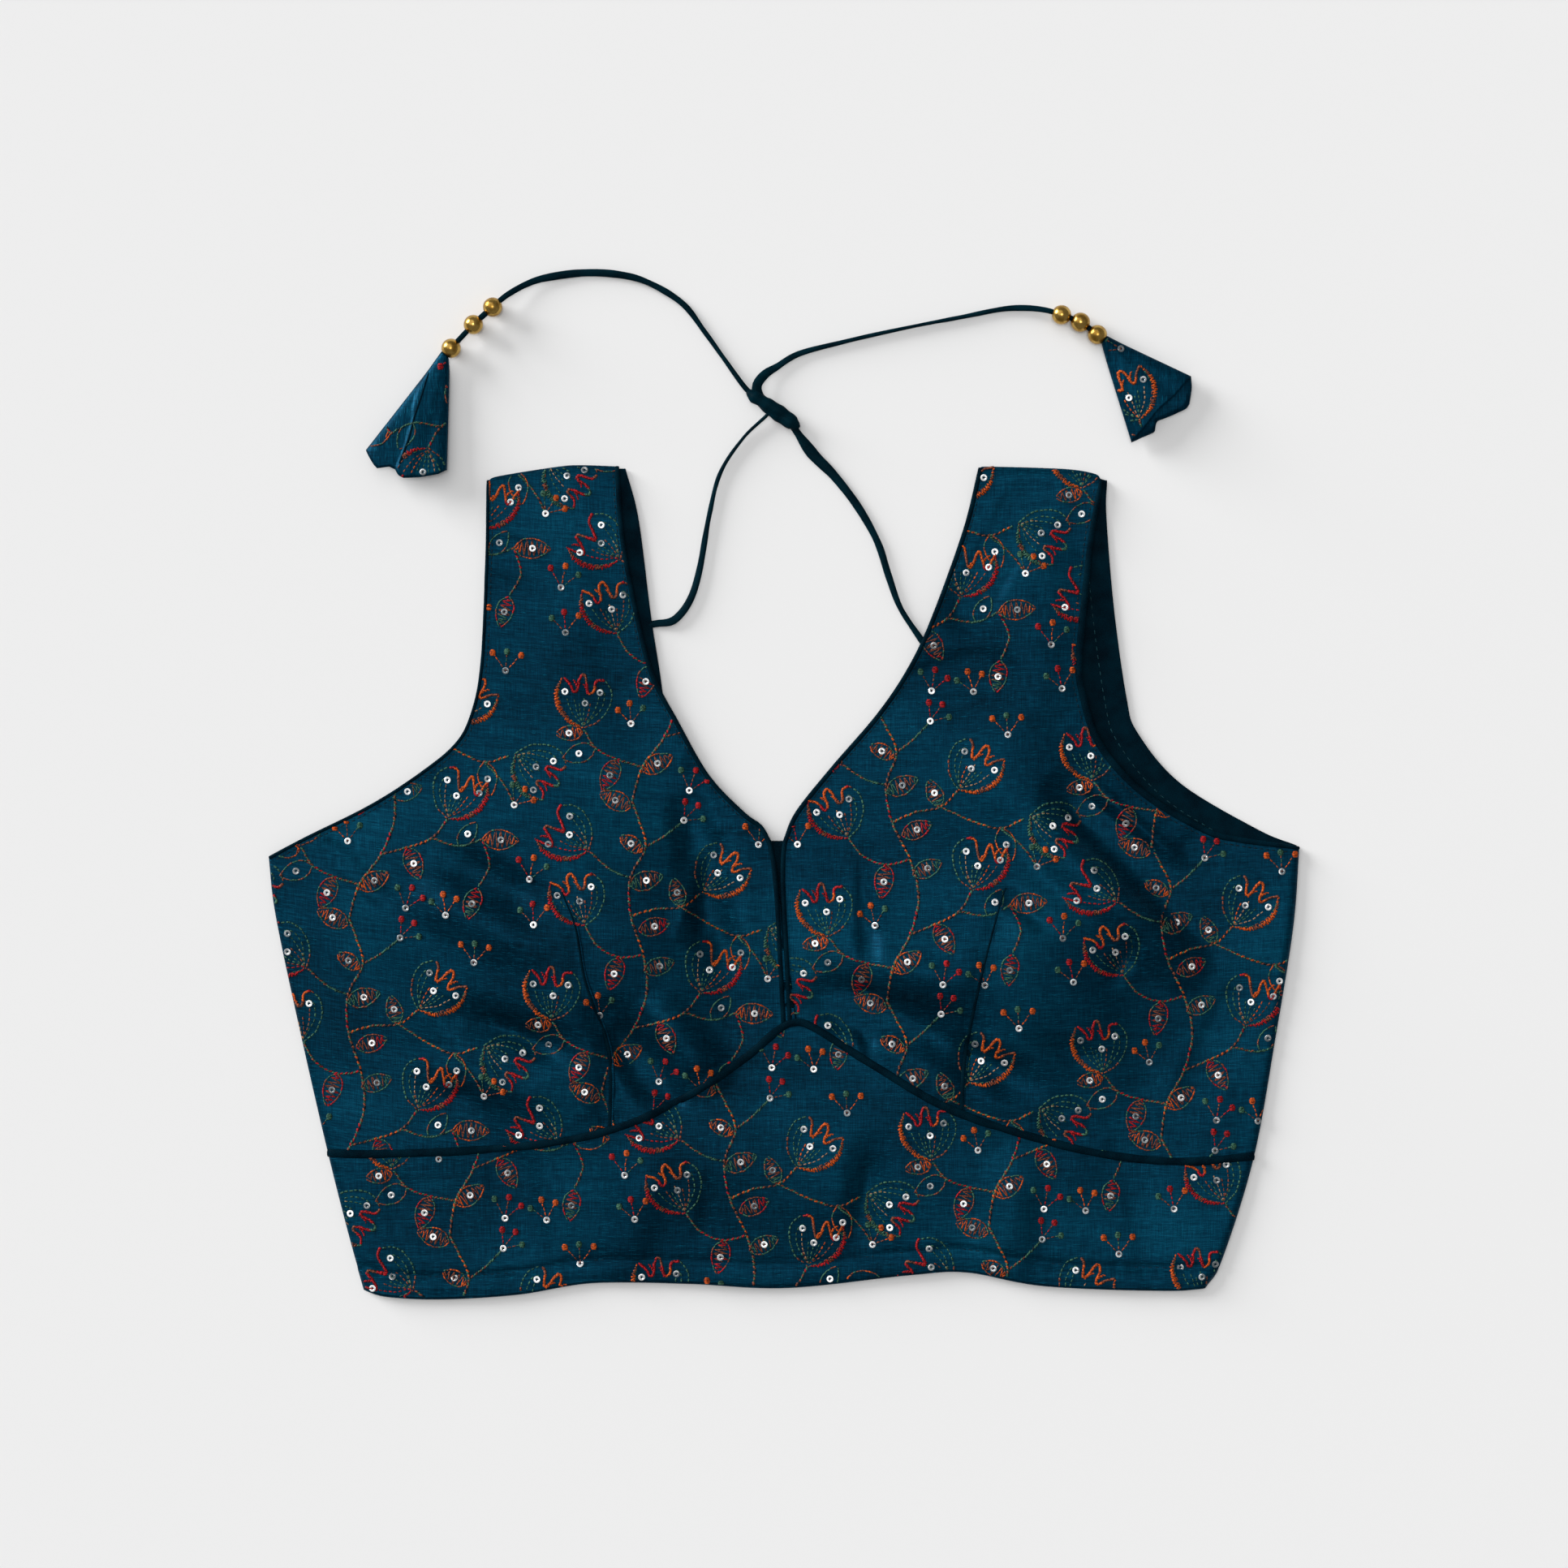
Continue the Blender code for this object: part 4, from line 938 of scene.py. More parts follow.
def add_panels():
    """Make the five panels of cloth."""
    for half in HALVES:
        grid = front_grids[half.name]
        top = cup_top(grid[..., 0], grid[..., 1])
        name = f"cup_{half.name}"
        cloth_piece(name, grid, top, top - CLOTH, half.bow, [silk, lining],
                                   [f"front_{half.name}"])
        grid = back_grids[half.name]
        top = back_top(grid[..., 0], grid[..., 1])
        under = back_under(grid[..., 0], grid[..., 1])
        name = f"back_half_{half.name}"
        cloth_piece(name, grid, top, under, 0.0, [lining, silk],
                                   [f"back_{half.name}"])
    x, y = the_belt_grid[..., 0], the_belt_grid[..., 1]
    top = belt_top(x, y)
    from_hem, _, _ = line_measure(x, y, HEM_CURVE)
    under = top - np.where(from_hem < HEM_TURN, HEM_CLOTH, CLOTH)
    cloth_piece("belt", the_belt_grid, top, under, 0.0, [silk, lining],
                                 ["front_belt"])


add_panels()


# Pipings and placket.

def laid_on(path, level, lift):
    """Lay a plane path on a surface, lifted above it."""
    return np.column_stack([path, level(*path.T) + lift])


def add_half_pipings(half):
    """Pipings of one half: slit and neck, armhole, and the back's neck and armhole."""
    sunk, height = 0.08, 0.72
    back_level, back_height, centre_gap = 0.68, 0.6, 0.5
    slit_steps, neck_steps, places = 36, 90, even(100)
    neck = np.vstack([slit_edge(half.sign, even(slit_steps)),
                      sampled(smooth_curve(half.neck), even(neck_steps))[1:]])
    path = moved_aside(neck, -half.sign * NECK_PIPING / 2)
    tube_piece(f"piping_neck_{half.name}", laid_on(path, cup_top, -sunk), NECK_PIPING / 2,
               height, lining, [f"neck_piping_{half.name}"])
    extra = half.piping_extra * np.sin(np.pi * places) ** 0.6
    armhole = sampled(smooth_curve(half.armhole), places)
    path = moved_aside(armhole, half.sign * (EDGE_PIPING / 2 - extra))
    tube_piece(f"piping_armhole_{half.name}", laid_on(path, cup_top, -sunk),
               EDGE_PIPING / 2 + extra, height, lining, [f"armhole_piping_{half.name}"])
    for edge, table, turn in (("neck", half.back_neck, -half.sign),
                              ("armhole", half.back_armhole, half.sign)):
        path = moved_aside(sampled(smooth_curve(table), places), turn * BACK_PIPING / 2)
        if edge == "neck":
            path[0][0] += half.sign * centre_gap
        path = np.column_stack([path, np.full(len(path), back_level)])
        tube_piece(f"piping_back_{edge}_{half.name}", path, BACK_PIPING / 2, back_height,
                   lining, [f"back_{edge}_piping_{half.name}"])


def add_cross_pipings():
    """The piping in the belt's seam, a little uneven, and the edge of the hem."""
    seam_lift, seam_height, unevenness, size = 0.05, 0.85, 0.12, 7.0
    hem_sunk, hem_height = 0.45, 0.5
    seam = sampled(smooth_curve(BELT_SEAM), even(240))
    level = np.maximum(cup_top(*seam.T), belt_top(*seam.T)) + seam_lift
    ridge = 1 + unevenness * soft_noise(lengths_along(seam), 0 * level, size, 95)
    tube_piece("piping_belt", np.column_stack([seam, level]), BELT_PIPING / 2 * ridge,
               seam_height, lining, ["belt_piping"], 12)
    hem = moved_aside(sampled(smooth_curve(HEM), even(240)), HEM_EDGE / 2)
    tube_piece("hem_edge", laid_on(hem, belt_top, -hem_sunk), HEM_EDGE / 2, hem_height, lining)


def add_placket():
    """The strip behind the closed slit."""
    level, thickness, top_gap, size = 2.45, 0.9, 0.3, 9.0
    reach = np.array([PLACKET_HALF_WIDTH, 0.0])
    top = np.array([SLIT_TOP_ACROSS, NOTCH_HEIGHT - top_gap])
    foot = np.array([SLIT_FOOT_ACROSS, SLIT_FOOT_HEIGHT])
    left, right = [sampled(np.array([foot + shift, top + shift]), even(30))
                   for shift in (-reach, reach)]
    low, high = [sampled(np.array([left[end], right[end]]), even(10)) for end in (0, -1)]
    grid = patch(left, right, low, high)
    top = level + 0.05 * soft_noise(grid[..., 0], grid[..., 1], size, 70)
    cloth_piece("placket", grid, top, top - thickness, 0.0, [lining], ["slit_placket"])


for half in HALVES:
    add_half_pipings(half)
add_cross_pipings()
add_placket()


# Cords, knot and beads.

def lying(route):
    """Give each point of a cord's route its level."""
    return [point if len(point) == 3 else (*point, CORD_LEVEL) for point in route]


def add_cord(name, route, widths, replaced):
    """One dori: a flat folded tube of silk that turns over here and there."""
    step, most_turn, unevenness = 1.6, 0.22, 0.07
    flat_height, fuller = 0.7, 0.35
    curve = smooth_curve(lying(route))
    path = sampled(curve, even(int(lengths_along(curve)[-1] / step)))
    place = lengths_along(path)
    turn = most_turn * soft_noise(place, 0 * place, 16.0, len(name) + 80)
    seen = np.interp(place, *np.array(widths).T)
    seen = seen * (1 + unevenness * soft_noise(place, 0 * place, 7.0, len(name) + 90))
    height = flat_height + fuller * np.maximum(0.0, CORD_WIDTH - seen)
    piece = tube_piece(name, path, seen / 2, height, cord_silk, replaced, 12, turn)
    return piece


def add_bead(name, place, direction, replaced):
    """A turned bead with a small lip round its bore."""
    radius, bore = BEAD_DIAMETER / 2, BEAD_BORE / 2
    lip_depth, lip_reach, sides = 0.25, 0.12, 36
    start = math.asin(bore / radius)
    angles = np.linspace(start, math.pi - start, 20)
    profile = [(-math.cos(angle) * radius, math.sin(angle) * radius) for angle in angles]
    lip = radius * math.cos(start)
    profile += [(lip - lip_depth, bore - lip_reach), (0.0, bore),
                (lip_depth - lip, bore - lip_reach)]
    ahead = np.array([direction[0], direction[1], 0.0]) / math.hypot(*direction)
    aside = np.array([-ahead[1], ahead[0], 0.0])
    vertices = []
    for angle in 2 * np.pi * np.arange(sides) / sides:
        out = aside * math.cos(angle) + np.array([0.0, 0.0, 1.0]) * math.sin(angle)
        for along, reach in profile:
            vertices.append(np.array([*place, BEAD_LEVEL]) + ahead * along + out * reach)
    return finish_piece(name, vertices, wrapped_faces(sides, len(profile)), [gold], [replaced])


def add_beads(side_name, places, route):
    """Three beads in a row, each turned the way its cord runs."""
    curve = smooth_curve(lying(route))
    beads = []
    for number, place in enumerate(places, 1):
        nearest = int(np.argmin(np.linalg.norm(curve[:, :2] - place, axis=1)))
        nearest = min(max(nearest, 1), len(curve) - 2)
        direction = (curve[nearest + 1] - curve[nearest - 1])[:2]
        beads.append(add_bead(f"gold_bead_{side_name}_{number}", place, direction,
                              f"bead_{side_name}_{number}"))
    return beads


def add_knot():
    """A tight bar of flat cord, drawn from a section of two lobes that turns along it."""
    start, end = (np.array([*point, KNOT_LEVEL]) for point in KNOT_ENDS)
    along = (end - start) / np.linalg.norm(end - start)
    aside = np.cross([0.0, 0.0, 1.0], along)
    above = np.cross(along, aside)
    sides, steps, turns = 40, 44, 0.55
    angle = 2 * np.pi * np.arange(sides) / sides
    rings = []
    for place in denser_ends(steps, 0.8):
        radius = np.interp(place, *np.array(KNOT_GIRTH).T)
        lobes = np.abs(np.cos(angle + np.pi * (2 * turns * place + 0.2))) ** 0.7
        wrap = 0.05 * math.cos(9 * math.pi * place + 1.5)
        reach = radius * (0.8 + 0.26 * lobes + wrap)
        centre = start + (end - start) * place
        ring = centre + np.outer(np.cos(angle) * reach, aside)
        rings.append(ring + np.outer(np.sin(angle) * reach * 0.88, above))
    faces = ring_faces(len(rings), sides)
    return finish_piece("knot", np.vstack(rings), faces, [cord_silk], ["dori_knot"])


# Tassels.

def rim_reach(tassel, across, above):
    """How far the rim reaches, on the upper layer and on the one below it."""
    over = np.interp(across, *np.array(tassel.over).T)
    under = np.interp(across, *np.array(tassel.under).T)
    return np.where(above, over, under)


def tassel_points(tassel, part, angle, shrink):
    """Points of a folded cone at parts of the way to its rim and at angles round it."""
    apex_radius, apex_tuck, settled, fullness = 2.1, 0.4, 0.3, 0.8
    fold_edge, fold_fade = 0.03, 3.5
    ridge_rise, ridge_shift, ridge_width = 0.35, 0.09, 0.08
    valley_depth, valley_place, valley_width = 0.63, 0.72, 0.16
    before, bead, last = (np.array(point[:2]) for point in tassel.cord_end)
    entry = (last - before) / np.linalg.norm(last - before)
    apex = bead + entry * (BEAD_DIAMETER / 2 - apex_tuck)
    left, right = np.array(tassel.left_tip), np.array(tassel.right_tip)
    tips = (right - left) / np.linalg.norm(right - left)
    square_on = np.array([-entry[1], entry[0]])
    half_height = apex_radius + (tassel.height / 2 - apex_radius) * part ** fullness
    droop = np.maximum(0.0, 1 - part / settled) ** 2
    level = TASSEL_REST + half_height + (BEAD_LEVEL - TASSEL_REST - apex_radius) * droop
    across = (1 + np.cos(angle)) / 2
    above = np.sin(angle) >= 0
    reach = 1 + (rim_reach(tassel, across, above) - 1) * part
    target = left + (right - left) * across[..., None]
    place = apex + (target - apex) * (part * reach)[..., None]
    turn = np.minimum(1.0, 2 * part / settled)[..., None]
    aside = square_on * (1 - turn) + tips * turn
    aside = aside / np.linalg.norm(aside, axis=-1)[..., None]
    place = place + aside * (np.cos(angle) * (apex_radius * (1 - part) - shrink))[..., None]
    fold = np.interp(part, *np.array(tassel.fold).T)
    before_fold = np.maximum(0, fold - across)
    below = np.clip((fold - across) / fold_edge, 0, 1) * np.exp(-before_fold * fold_fade)
    ridge = ridge_rise * np.exp(-((across - fold - ridge_shift) / ridge_width) ** 2)
    valley = valley_depth * rounded(np.abs(across - valley_place) / valley_width)
    wave = 0.3 * soft_noise(across * 30, part * 30, 7.0, len(tassel.name))
    relief = (ridge - below) * tassel.step - valley + wave
    level = level + (half_height - shrink) * np.sin(angle)
    level = level + np.where(above, relief * part * np.sin(angle) ** 0.5, 0.0)
    return np.concatenate([place, np.maximum(level, TASSEL_REST)[..., None]], axis=-1)


def add_tassel(tassel):
    """A hollow folded cone of the blouse's cloth, open at its rim."""
    sides = 132
    angle = 2 * np.pi * np.arange(sides) / sides
    outer = np.concatenate([[0.0, 0.02], np.linspace(0.06, 1.0, 36)])
    inner = np.linspace(0.995, 0.12, 20)
    parts = np.concatenate([outer, inner])
    shrinks = np.concatenate([np.zeros(len(outer)), np.full(len(inner), TASSEL_WALL)])
    rings = [tassel_points(tassel, np.full(sides, part), angle, shrink)
             for part, shrink in zip(parts, shrinks)]
    vertices = np.vstack(rings)
    faces = ring_faces(len(rings), sides)
    piece = finish_piece(tassel.name + "_cloth", vertices, faces, [silk], [tassel.name])
    set_grain(piece, vertices[:, [1, 0]])
    tassel_surfaces[tassel.name] = BVHTree.FromPolygons(vertices.tolist(), faces)
    return piece


tassel_surfaces = {}
tassels = {tassel.name: add_tassel(tassel) for tassel in TASSELS}
left_beads = add_beads("left", LEFT_BEADS, LEFT_CORD_UPPER)
right_beads = add_beads("right", RIGHT_BEADS, RIGHT_CORD_UPPER)
knot = add_knot()
RIGHT_DORI = RIGHT_CORD_LOWER[:-1] + KNOT_A + LEFT_CORD_UPPER
LEFT_DORI = LEFT_CORD_LOWER[:-1] + KNOT_B + RIGHT_CORD_UPPER[1:]
# How wide each flat cord looks as it turns over: millimetres along it, and width.
RIGHT_DORI_WIDTHS = [(0, 3.0), (29, 2.4), (44, 3.3), (60, 3.0), (77, 3.5), (94, 3.8), (108, 5.2),
                     (117, 3.4), (126, 3.0), (145, 2.3), (165, 1.8), (179, 2.2), (195, 2.8),
                     (212, 2.6), (227, 3.5), (242, 3.2), (257, 3.3), (266, 2.8), (276, 2.5)]
LEFT_DORI_WIDTHS = [(0, 2.8), (10, 3.7), (22, 3.3), (36, 2.9), (60, 2.1), (79, 1.8), (97, 1.3),
                    (114, 1.5), (124, 4.6), (133, 4.2), (142, 2.9), (156, 2.6), (170, 2.0),
                    (185, 1.8), (203, 1.4), (220, 1.8), (240, 2.2), (248, 2.6), (260, 2.4)]
add_cord("dori_from_right", RIGHT_DORI, RIGHT_DORI_WIDTHS,
         ["dori_right_lower", "dori_left_upper"])
add_cord("dori_from_left", LEFT_DORI, LEFT_DORI_WIDTHS,
         ["dori_left_lower", "dori_right_upper"])


# Embroidery. A design is a list of stitches and of sequins, drawn flat.

Stitch = namedtuple("Stitch", "start end half_width lift thread")
RUN, STEM, FILL, FINE = 0.4, 0.58, 0.4, 0.25
chance = random.Random(7)


def turned(points, base, angle, mirror=False):
    """Place a motif's own points at a base, turned by an angle in degrees."""
    points = np.array(points, float)
    if mirror:
        points = points * [1.0, -1.0]
    c, s = math.cos(math.radians(angle)), math.sin(math.radians(angle))
    return points @ np.array([[c, s], [-s, c]]) + base


def along_curve(points, stitch, pitch, half_width, lift, threads, run=4):
    """Stitches that follow a smooth curve, with the thread's colour changing along it."""
    curve = smooth_curve(points, 8)
    length = lengths_along(curve)[-1]
    count = max(1, int(length / pitch))
    first = chance.randrange(len(threads))
    starts = np.arange(count) * pitch
    ends = np.minimum(starts + stitch, length)
    a = sampled(curve, starts / length)
    b = sampled(curve, ends / length)
    stitches = []
    for index in range(count):
        sway = [chance.uniform(-0.12, 0.12), chance.uniform(-0.12, 0.12)]
        thread = threads[(first + (index + chance.randrange(2)) // run) % len(threads)]
        width = half_width * chance.uniform(0.7, 1.12)
        stitches.append(Stitch(a[index] + sway, b[index] + sway, width, lift, thread))
    return stitches


def between_curves(first, second, count, half_width, lift, threads, ragged=0.2):
    """Satin stitches that zigzag from one curve to another."""
    places = even(count)
    a = sampled(smooth_curve(first, 8), places)
    b = sampled(smooth_curve(second, 8), places)
    stitches = []
    for index in range(count):
        thread = threads[((index + chance.randrange(3)) // 5) % len(threads)]
        start, end = (a[index], b[index + 1]) if index % 2 else (b[index], a[index + 1])
        start = start + [chance.uniform(-ragged, ragged), chance.uniform(-ragged, ragged)]
        end = end + [chance.uniform(-ragged, ragged), chance.uniform(-ragged, ragged)]
        stitches.append(Stitch(start, end, half_width * chance.uniform(0.75, 1.1), lift, thread))
    return stitches


def flower(base, angle, bright, second, mirror=False, pointed=False):
    """A cup-shaped flower seen from the side, open away from its base."""
    stitches = []
    crescent = [[(0.0, 0.0), (2.4, -7.0), (8.6, -11.8), (15.6, -12.6), (21.6, -9.2)],
                [(0.0, 0.0), (3.9, -5.8), (9.4, -9.6), (15.4, -10.6), (21.6, -9.2)]]
    back = [(0.0, 0.0), (3.0, 6.6), (9.4, 11.2), (15.8, 12.0), (20.8, 8.8)]
    lobes = [(21.6, -9.2), (19.0, -6.0), (14.8, -4.6), (16.2, -2.6), (21.0, -2.2), (23.2, 0.0),
             (20.0, 1.6), (14.6, 2.2), (16.2, 4.6), (20.2, 5.4), (20.8, 8.8)]
    if pointed:
        lobes = [(21.6, -9.2), (15.0, -8.2), (13.4, -7.4), (16.6, -5.4), (21.4, -3.0), (20.8, -2.0),
                 (15.2, -1.0), (13.0, 0.0), (16.0, 2.4), (21.0, 5.0), (20.8, 8.8)]
    edges = [turned(edge, base, angle, mirror) for edge in crescent]
    stitches += between_curves(*edges, 42, FILL, 0.55, [bright, bright, bright, RUST], 0.3)
    lobes = np.array(lobes) + [[chance.uniform(-0.6, 0.6), chance.uniform(-0.5, 0.5)]
                               for _ in lobes]
    for valley in (lobes[3], lobes[7]):
        wedge = [[valley, valley + [2.2, -1.0], valley + [4.4, -1.9]],
                 [valley, valley + [2.0, 0.5], valley + [4.4, -1.9]]]
        edges = [turned(edge, base, angle, mirror) for edge in wedge]
        stitches += between_curves(*edges, 8, FILL, 0.55, [second])
    placed = turned(lobes, base, angle, mirror)
    threads = [second, second, second, RUST, second, bright]
    stitches += along_curve(placed, 2.0, 0.8, STEM, 0.55, threads, 7)
    for points, pitch, width, threads in ((back, 2.1, FINE + 0.17, [GREEN, GREEN, GREEN, RUST]),
                                          (crescent[1], 2.4, FINE, [RUST, GREEN])):
        placed = turned(points, base, angle, mirror)
        stitches += along_curve(placed, 1.9, pitch, width, 0.4, threads, 4)
    inner_back = turned([(2.0, 1.4), (8.0, 7.4), (14.6, 9.0), (17.6, 6.4)], base, angle, mirror)
    stitches += along_curve(inner_back, 1.8, 2.4, FINE + 0.08, 0.35, [GREEN])
    tips = ((13.8, -7.6), (14.6, -4.4), (11.4, -2.0), (15.6, 0.2), (12.0, 3.0), (14.2, 7.0),
            (8.6, 5.0))
    for tip in tips:
        stamen = turned([(1.0, 0.0), (tip[0] * 0.5, tip[1] * 0.66), tip], base, angle, mirror)
        threads = [chance.choice([GREEN, GREEN, GREEN, PEACH, RUST, second])]
        stitches += along_curve(stamen, 1.6, 2.1, FINE + 0.05, 0.35, threads)
    sequins = turned([(15.6, -8.0), (10.6, 0.6), (15.2, 7.0)], base, angle, mirror)
    return stitches, list(sequins)


def leaf(base, angle, length, threads, filled=True):
    """A pointed leaf with a broken outline and zigzag filling."""
    half = length * 0.27
    first = [(0.0, 0.0), (length * 0.18, -half * 0.75), (length * 0.48, -half),
             (length * 0.8, -half * 0.6), (length, 0.0)]
    second = [(x, -y) for x, y in first]
    stitches = []
    for points in (first, second):
        placed = turned(points, base, angle)
        stitches += along_curve(placed, 1.9, 1.3, FINE + 0.1, 0.42, [*threads, GREEN, RUST], 2)
    if filled:
        inner = [[(x * 0.9 + length * 0.04, y * 0.9) for x, y in points]
                 for points in (first, second)]
        placed = [turned(points, base, angle) for points in inner]
        mixed = [threads[0], RUST, threads[1], threads[0], GREEN]
        stitches += between_curves(*placed, int(length), FINE + 0.04, 0.36, mixed, 0.3)
    sequin = turned([(length * 0.5, 0.0)], base, angle)
    return stitches, list(sequin)


def dot(centre, thread):
    """A small satin berry."""
    stitches = []
    for offset in (-1.0, -0.5, 0.0, 0.5, 1.0):
        reach = math.sqrt(1.5 ** 2 - offset ** 2)
        across = centre + np.array([-reach, offset])
        stitches.append(Stitch(across, centre + np.array([reach, offset]), FILL, 0.75, thread))
    return stitches


def sprig(base, angle, berries):
    """Three berries on fine stems from one sequin."""
    stitches = []
    for spread, berry in zip((-42.0, 0.0, 40.0), berries):
        reach = 8.8 + chance.uniform(-0.8, 0.8)
        tip = turned([(reach, 0.0)], base, angle + spread)[0]
        stem = [base, (np.array(base) + tip) / 2, tip]
        threads = [GREEN, RUST] if berry == GREEN else [berry, RUST]
        stitches += along_curve(stem, 1.7, 1.9, FINE + 0.04, 0.35, threads, 2)
        stitches += dot(tip, berry)
    return stitches, [np.array(base)]


def vine(points, threads, thickness=1.25):
    """Two colours of thread twisted like rope: short slanting stitches by turns."""
    curve = smooth_curve(points, 8)
    length = lengths_along(curve)[-1]
    pitch, reach, slant = 1.15, 0.95, 0.26
    count = int(length / pitch)
    middles = sampled(curve, (np.arange(count) + 0.5) * pitch / length)
    ahead = np.gradient(middles, axis=0)
    ahead /= np.linalg.norm(ahead, axis=1)[:, None]
    aside = np.column_stack([-ahead[:, 1], ahead[:, 0]])
    stitches = []
    for index in range(count):
        bright = threads[(index // 9) % len(threads)]
        thread = bright if index % 2 else chance.choice([GREEN, GREEN, NAVY])
        lean = reach * ahead[index] + (slant + chance.uniform(-0.14, 0.14)) * aside[index]
        middle = middles[index] + chance.uniform(-0.16, 0.16) * aside[index]
        width = 0.33 * thickness * chance.uniform(0.8, 1.15)
        stitches.append(Stitch(middle - lean, middle + lean, width, 0.42, thread))
    return stitches


TILE_WIDTH, TILE_HEIGHT = 116.0, 126.0
WARM = [RUST, ORANGE, RUST, RED, RUST]
DULL = [RUST, GREEN, RUST]
VINES = [
    ([(-20, -63), (-17, -48), (-9, -34), (-5, -18), (-8, -2), (-15, 14), (-17, 30), (-12, 44),
      (-16, 55), (-20, 63)], WARM, 1.5),
    ([(-9, -34), (2, -30), (12, -25), (18, -16)], WARM, 1.35),
    ([(-8, -2), (-18, -4), (-28, 0), (-34, 8)], [RED, RED, RUST]),
    ([(-15, 14), (-5, 18), (6, 20), (14, 27)], [ORANGE, RUST]),
    ([(-17, 30), (-26, 33), (-36, 40)], [GREEN, RUST]),
    ([(-17, -48), (-28, -46), (-38, -42), (-44, -34)], [RUST, RED]),
    ([(12, -25), (24, -27), (34, -23)], DULL),
    ([(6, 20), (18, 14), (31, 10), (42, 14)], [RUST, ORANGE]),
    ([(31, 10), (40, 2), (46, -7)], [GREEN, RUST]),
    ([(-12, 44), (-4, 50), (3, 57)], DULL),
    ([(34, -23), (38, -34), (34, -44)], [RED, RUST]),
]
FLOWERS = [
    ((18, -16), 72, RED, ORANGE, False, True),
    ((-34, 8), 112, RED, ORANGE, True, False),
    ((14, 27), 54, ORANGE, ORANGE, False, False),
    ((-36, 40), 150, RED, RED, True, True),
    ((-44, -34), 96, ORANGE, RED, True, False),
    ((44, 15), -30, GREEN, RED, False, False),
]
LEAVES = [
    ((-17, -50), 34, 15, [ORANGE, RUST], True),
    ((-7, -9), 24, 14, [GREEN, GREEN], True),
    ((-11, 8), 22, 14, [RUST, RED], True),
    ((-17, 27), 22, 15, [GREEN, RUST], True),
    ((-13, 42), 152, 12, [ORANGE, RUST], True),
    ((2, -30), -62, 15, [RED, RUST], True),
    ((24, -27), 58, 13, [GREEN, GREEN], False),
    ((34, -23), 4, 16, [ORANGE, RUST], True),
    ((-28, -46), -110, 15, [RUST, RED], True),
    ((-38, -42), 205, 15, [GREEN, RUST], False),
    ((-18, -4), -102, 15, [RED, RED], True),
    ((31, 10), -72, 15, [ORANGE, ORANGE], False),
    ((6, 20), 112, 13, [GREEN, RUST], True),
    ((-20, 60), 160, 15, [RUST, ORANGE], True),
    ((34, -44), -100, 14, [RED, GREEN], True),
    ((-44, -36), 188, 12, [ORANGE, RUST], True),
]
SPRIGS = [
    ((46, -7), 62, [ORANGE, ORANGE, GREEN]),
    ((-24, -30), 100, [GREEN, ORANGE, ORANGE]),
    ((4, -56), 78, [RED, RED, GREEN]),
    ((36, 50), 92, [ORANGE, GREEN, ORANGE]),
    ((3, 57), 52, [GREEN, RED, RED]),
    ((-56, 6), 100, [ORANGE, RED, GREEN]),
    ((56, -38), 84, [GREEN, ORANGE, RED]),
    ((22, -57), 104, [ORANGE, ORANGE, GREEN]),
]


def draw_tile():
    stitches, sequins = [], []
    for row in VINES:
        stitches += vine(*row)
    motifs = [flower(*row) for row in FLOWERS]
    motifs += [leaf(*row) for row in LEAVES]
    motifs += [sprig(*row) for row in SPRIGS]
    for motif_stitches, motif_sequins in motifs:
        stitches += motif_stitches
        sequins += motif_sequins
    return stitches, np.array(sequins)


tile_stitches, tile_sequins = draw_tile()
tile_ends = np.array([[s.start, s.end] for s in tile_stitches])
tile_traits = np.array([[s.half_width, s.lift, s.thread] for s in tile_stitches])


def repeated(points, offset, tilt, reach=4):
    """Half-drop repeats of the tile's points, as copies by points by two."""
    shifts = np.array([[column * TILE_WIDTH, (row + 0.5 * (column % 2)) * TILE_HEIGHT]
                       for column in range(-reach, reach + 1) for row in range(-reach, reach)])
    placed = points[None] + shifts.reshape((len(shifts),) + (1,) * (points.ndim - 1) + (2,))
    flat = placed.reshape(-1, 2)
    return turned(flat, offset, tilt).reshape((-1,) + points.shape[1:])


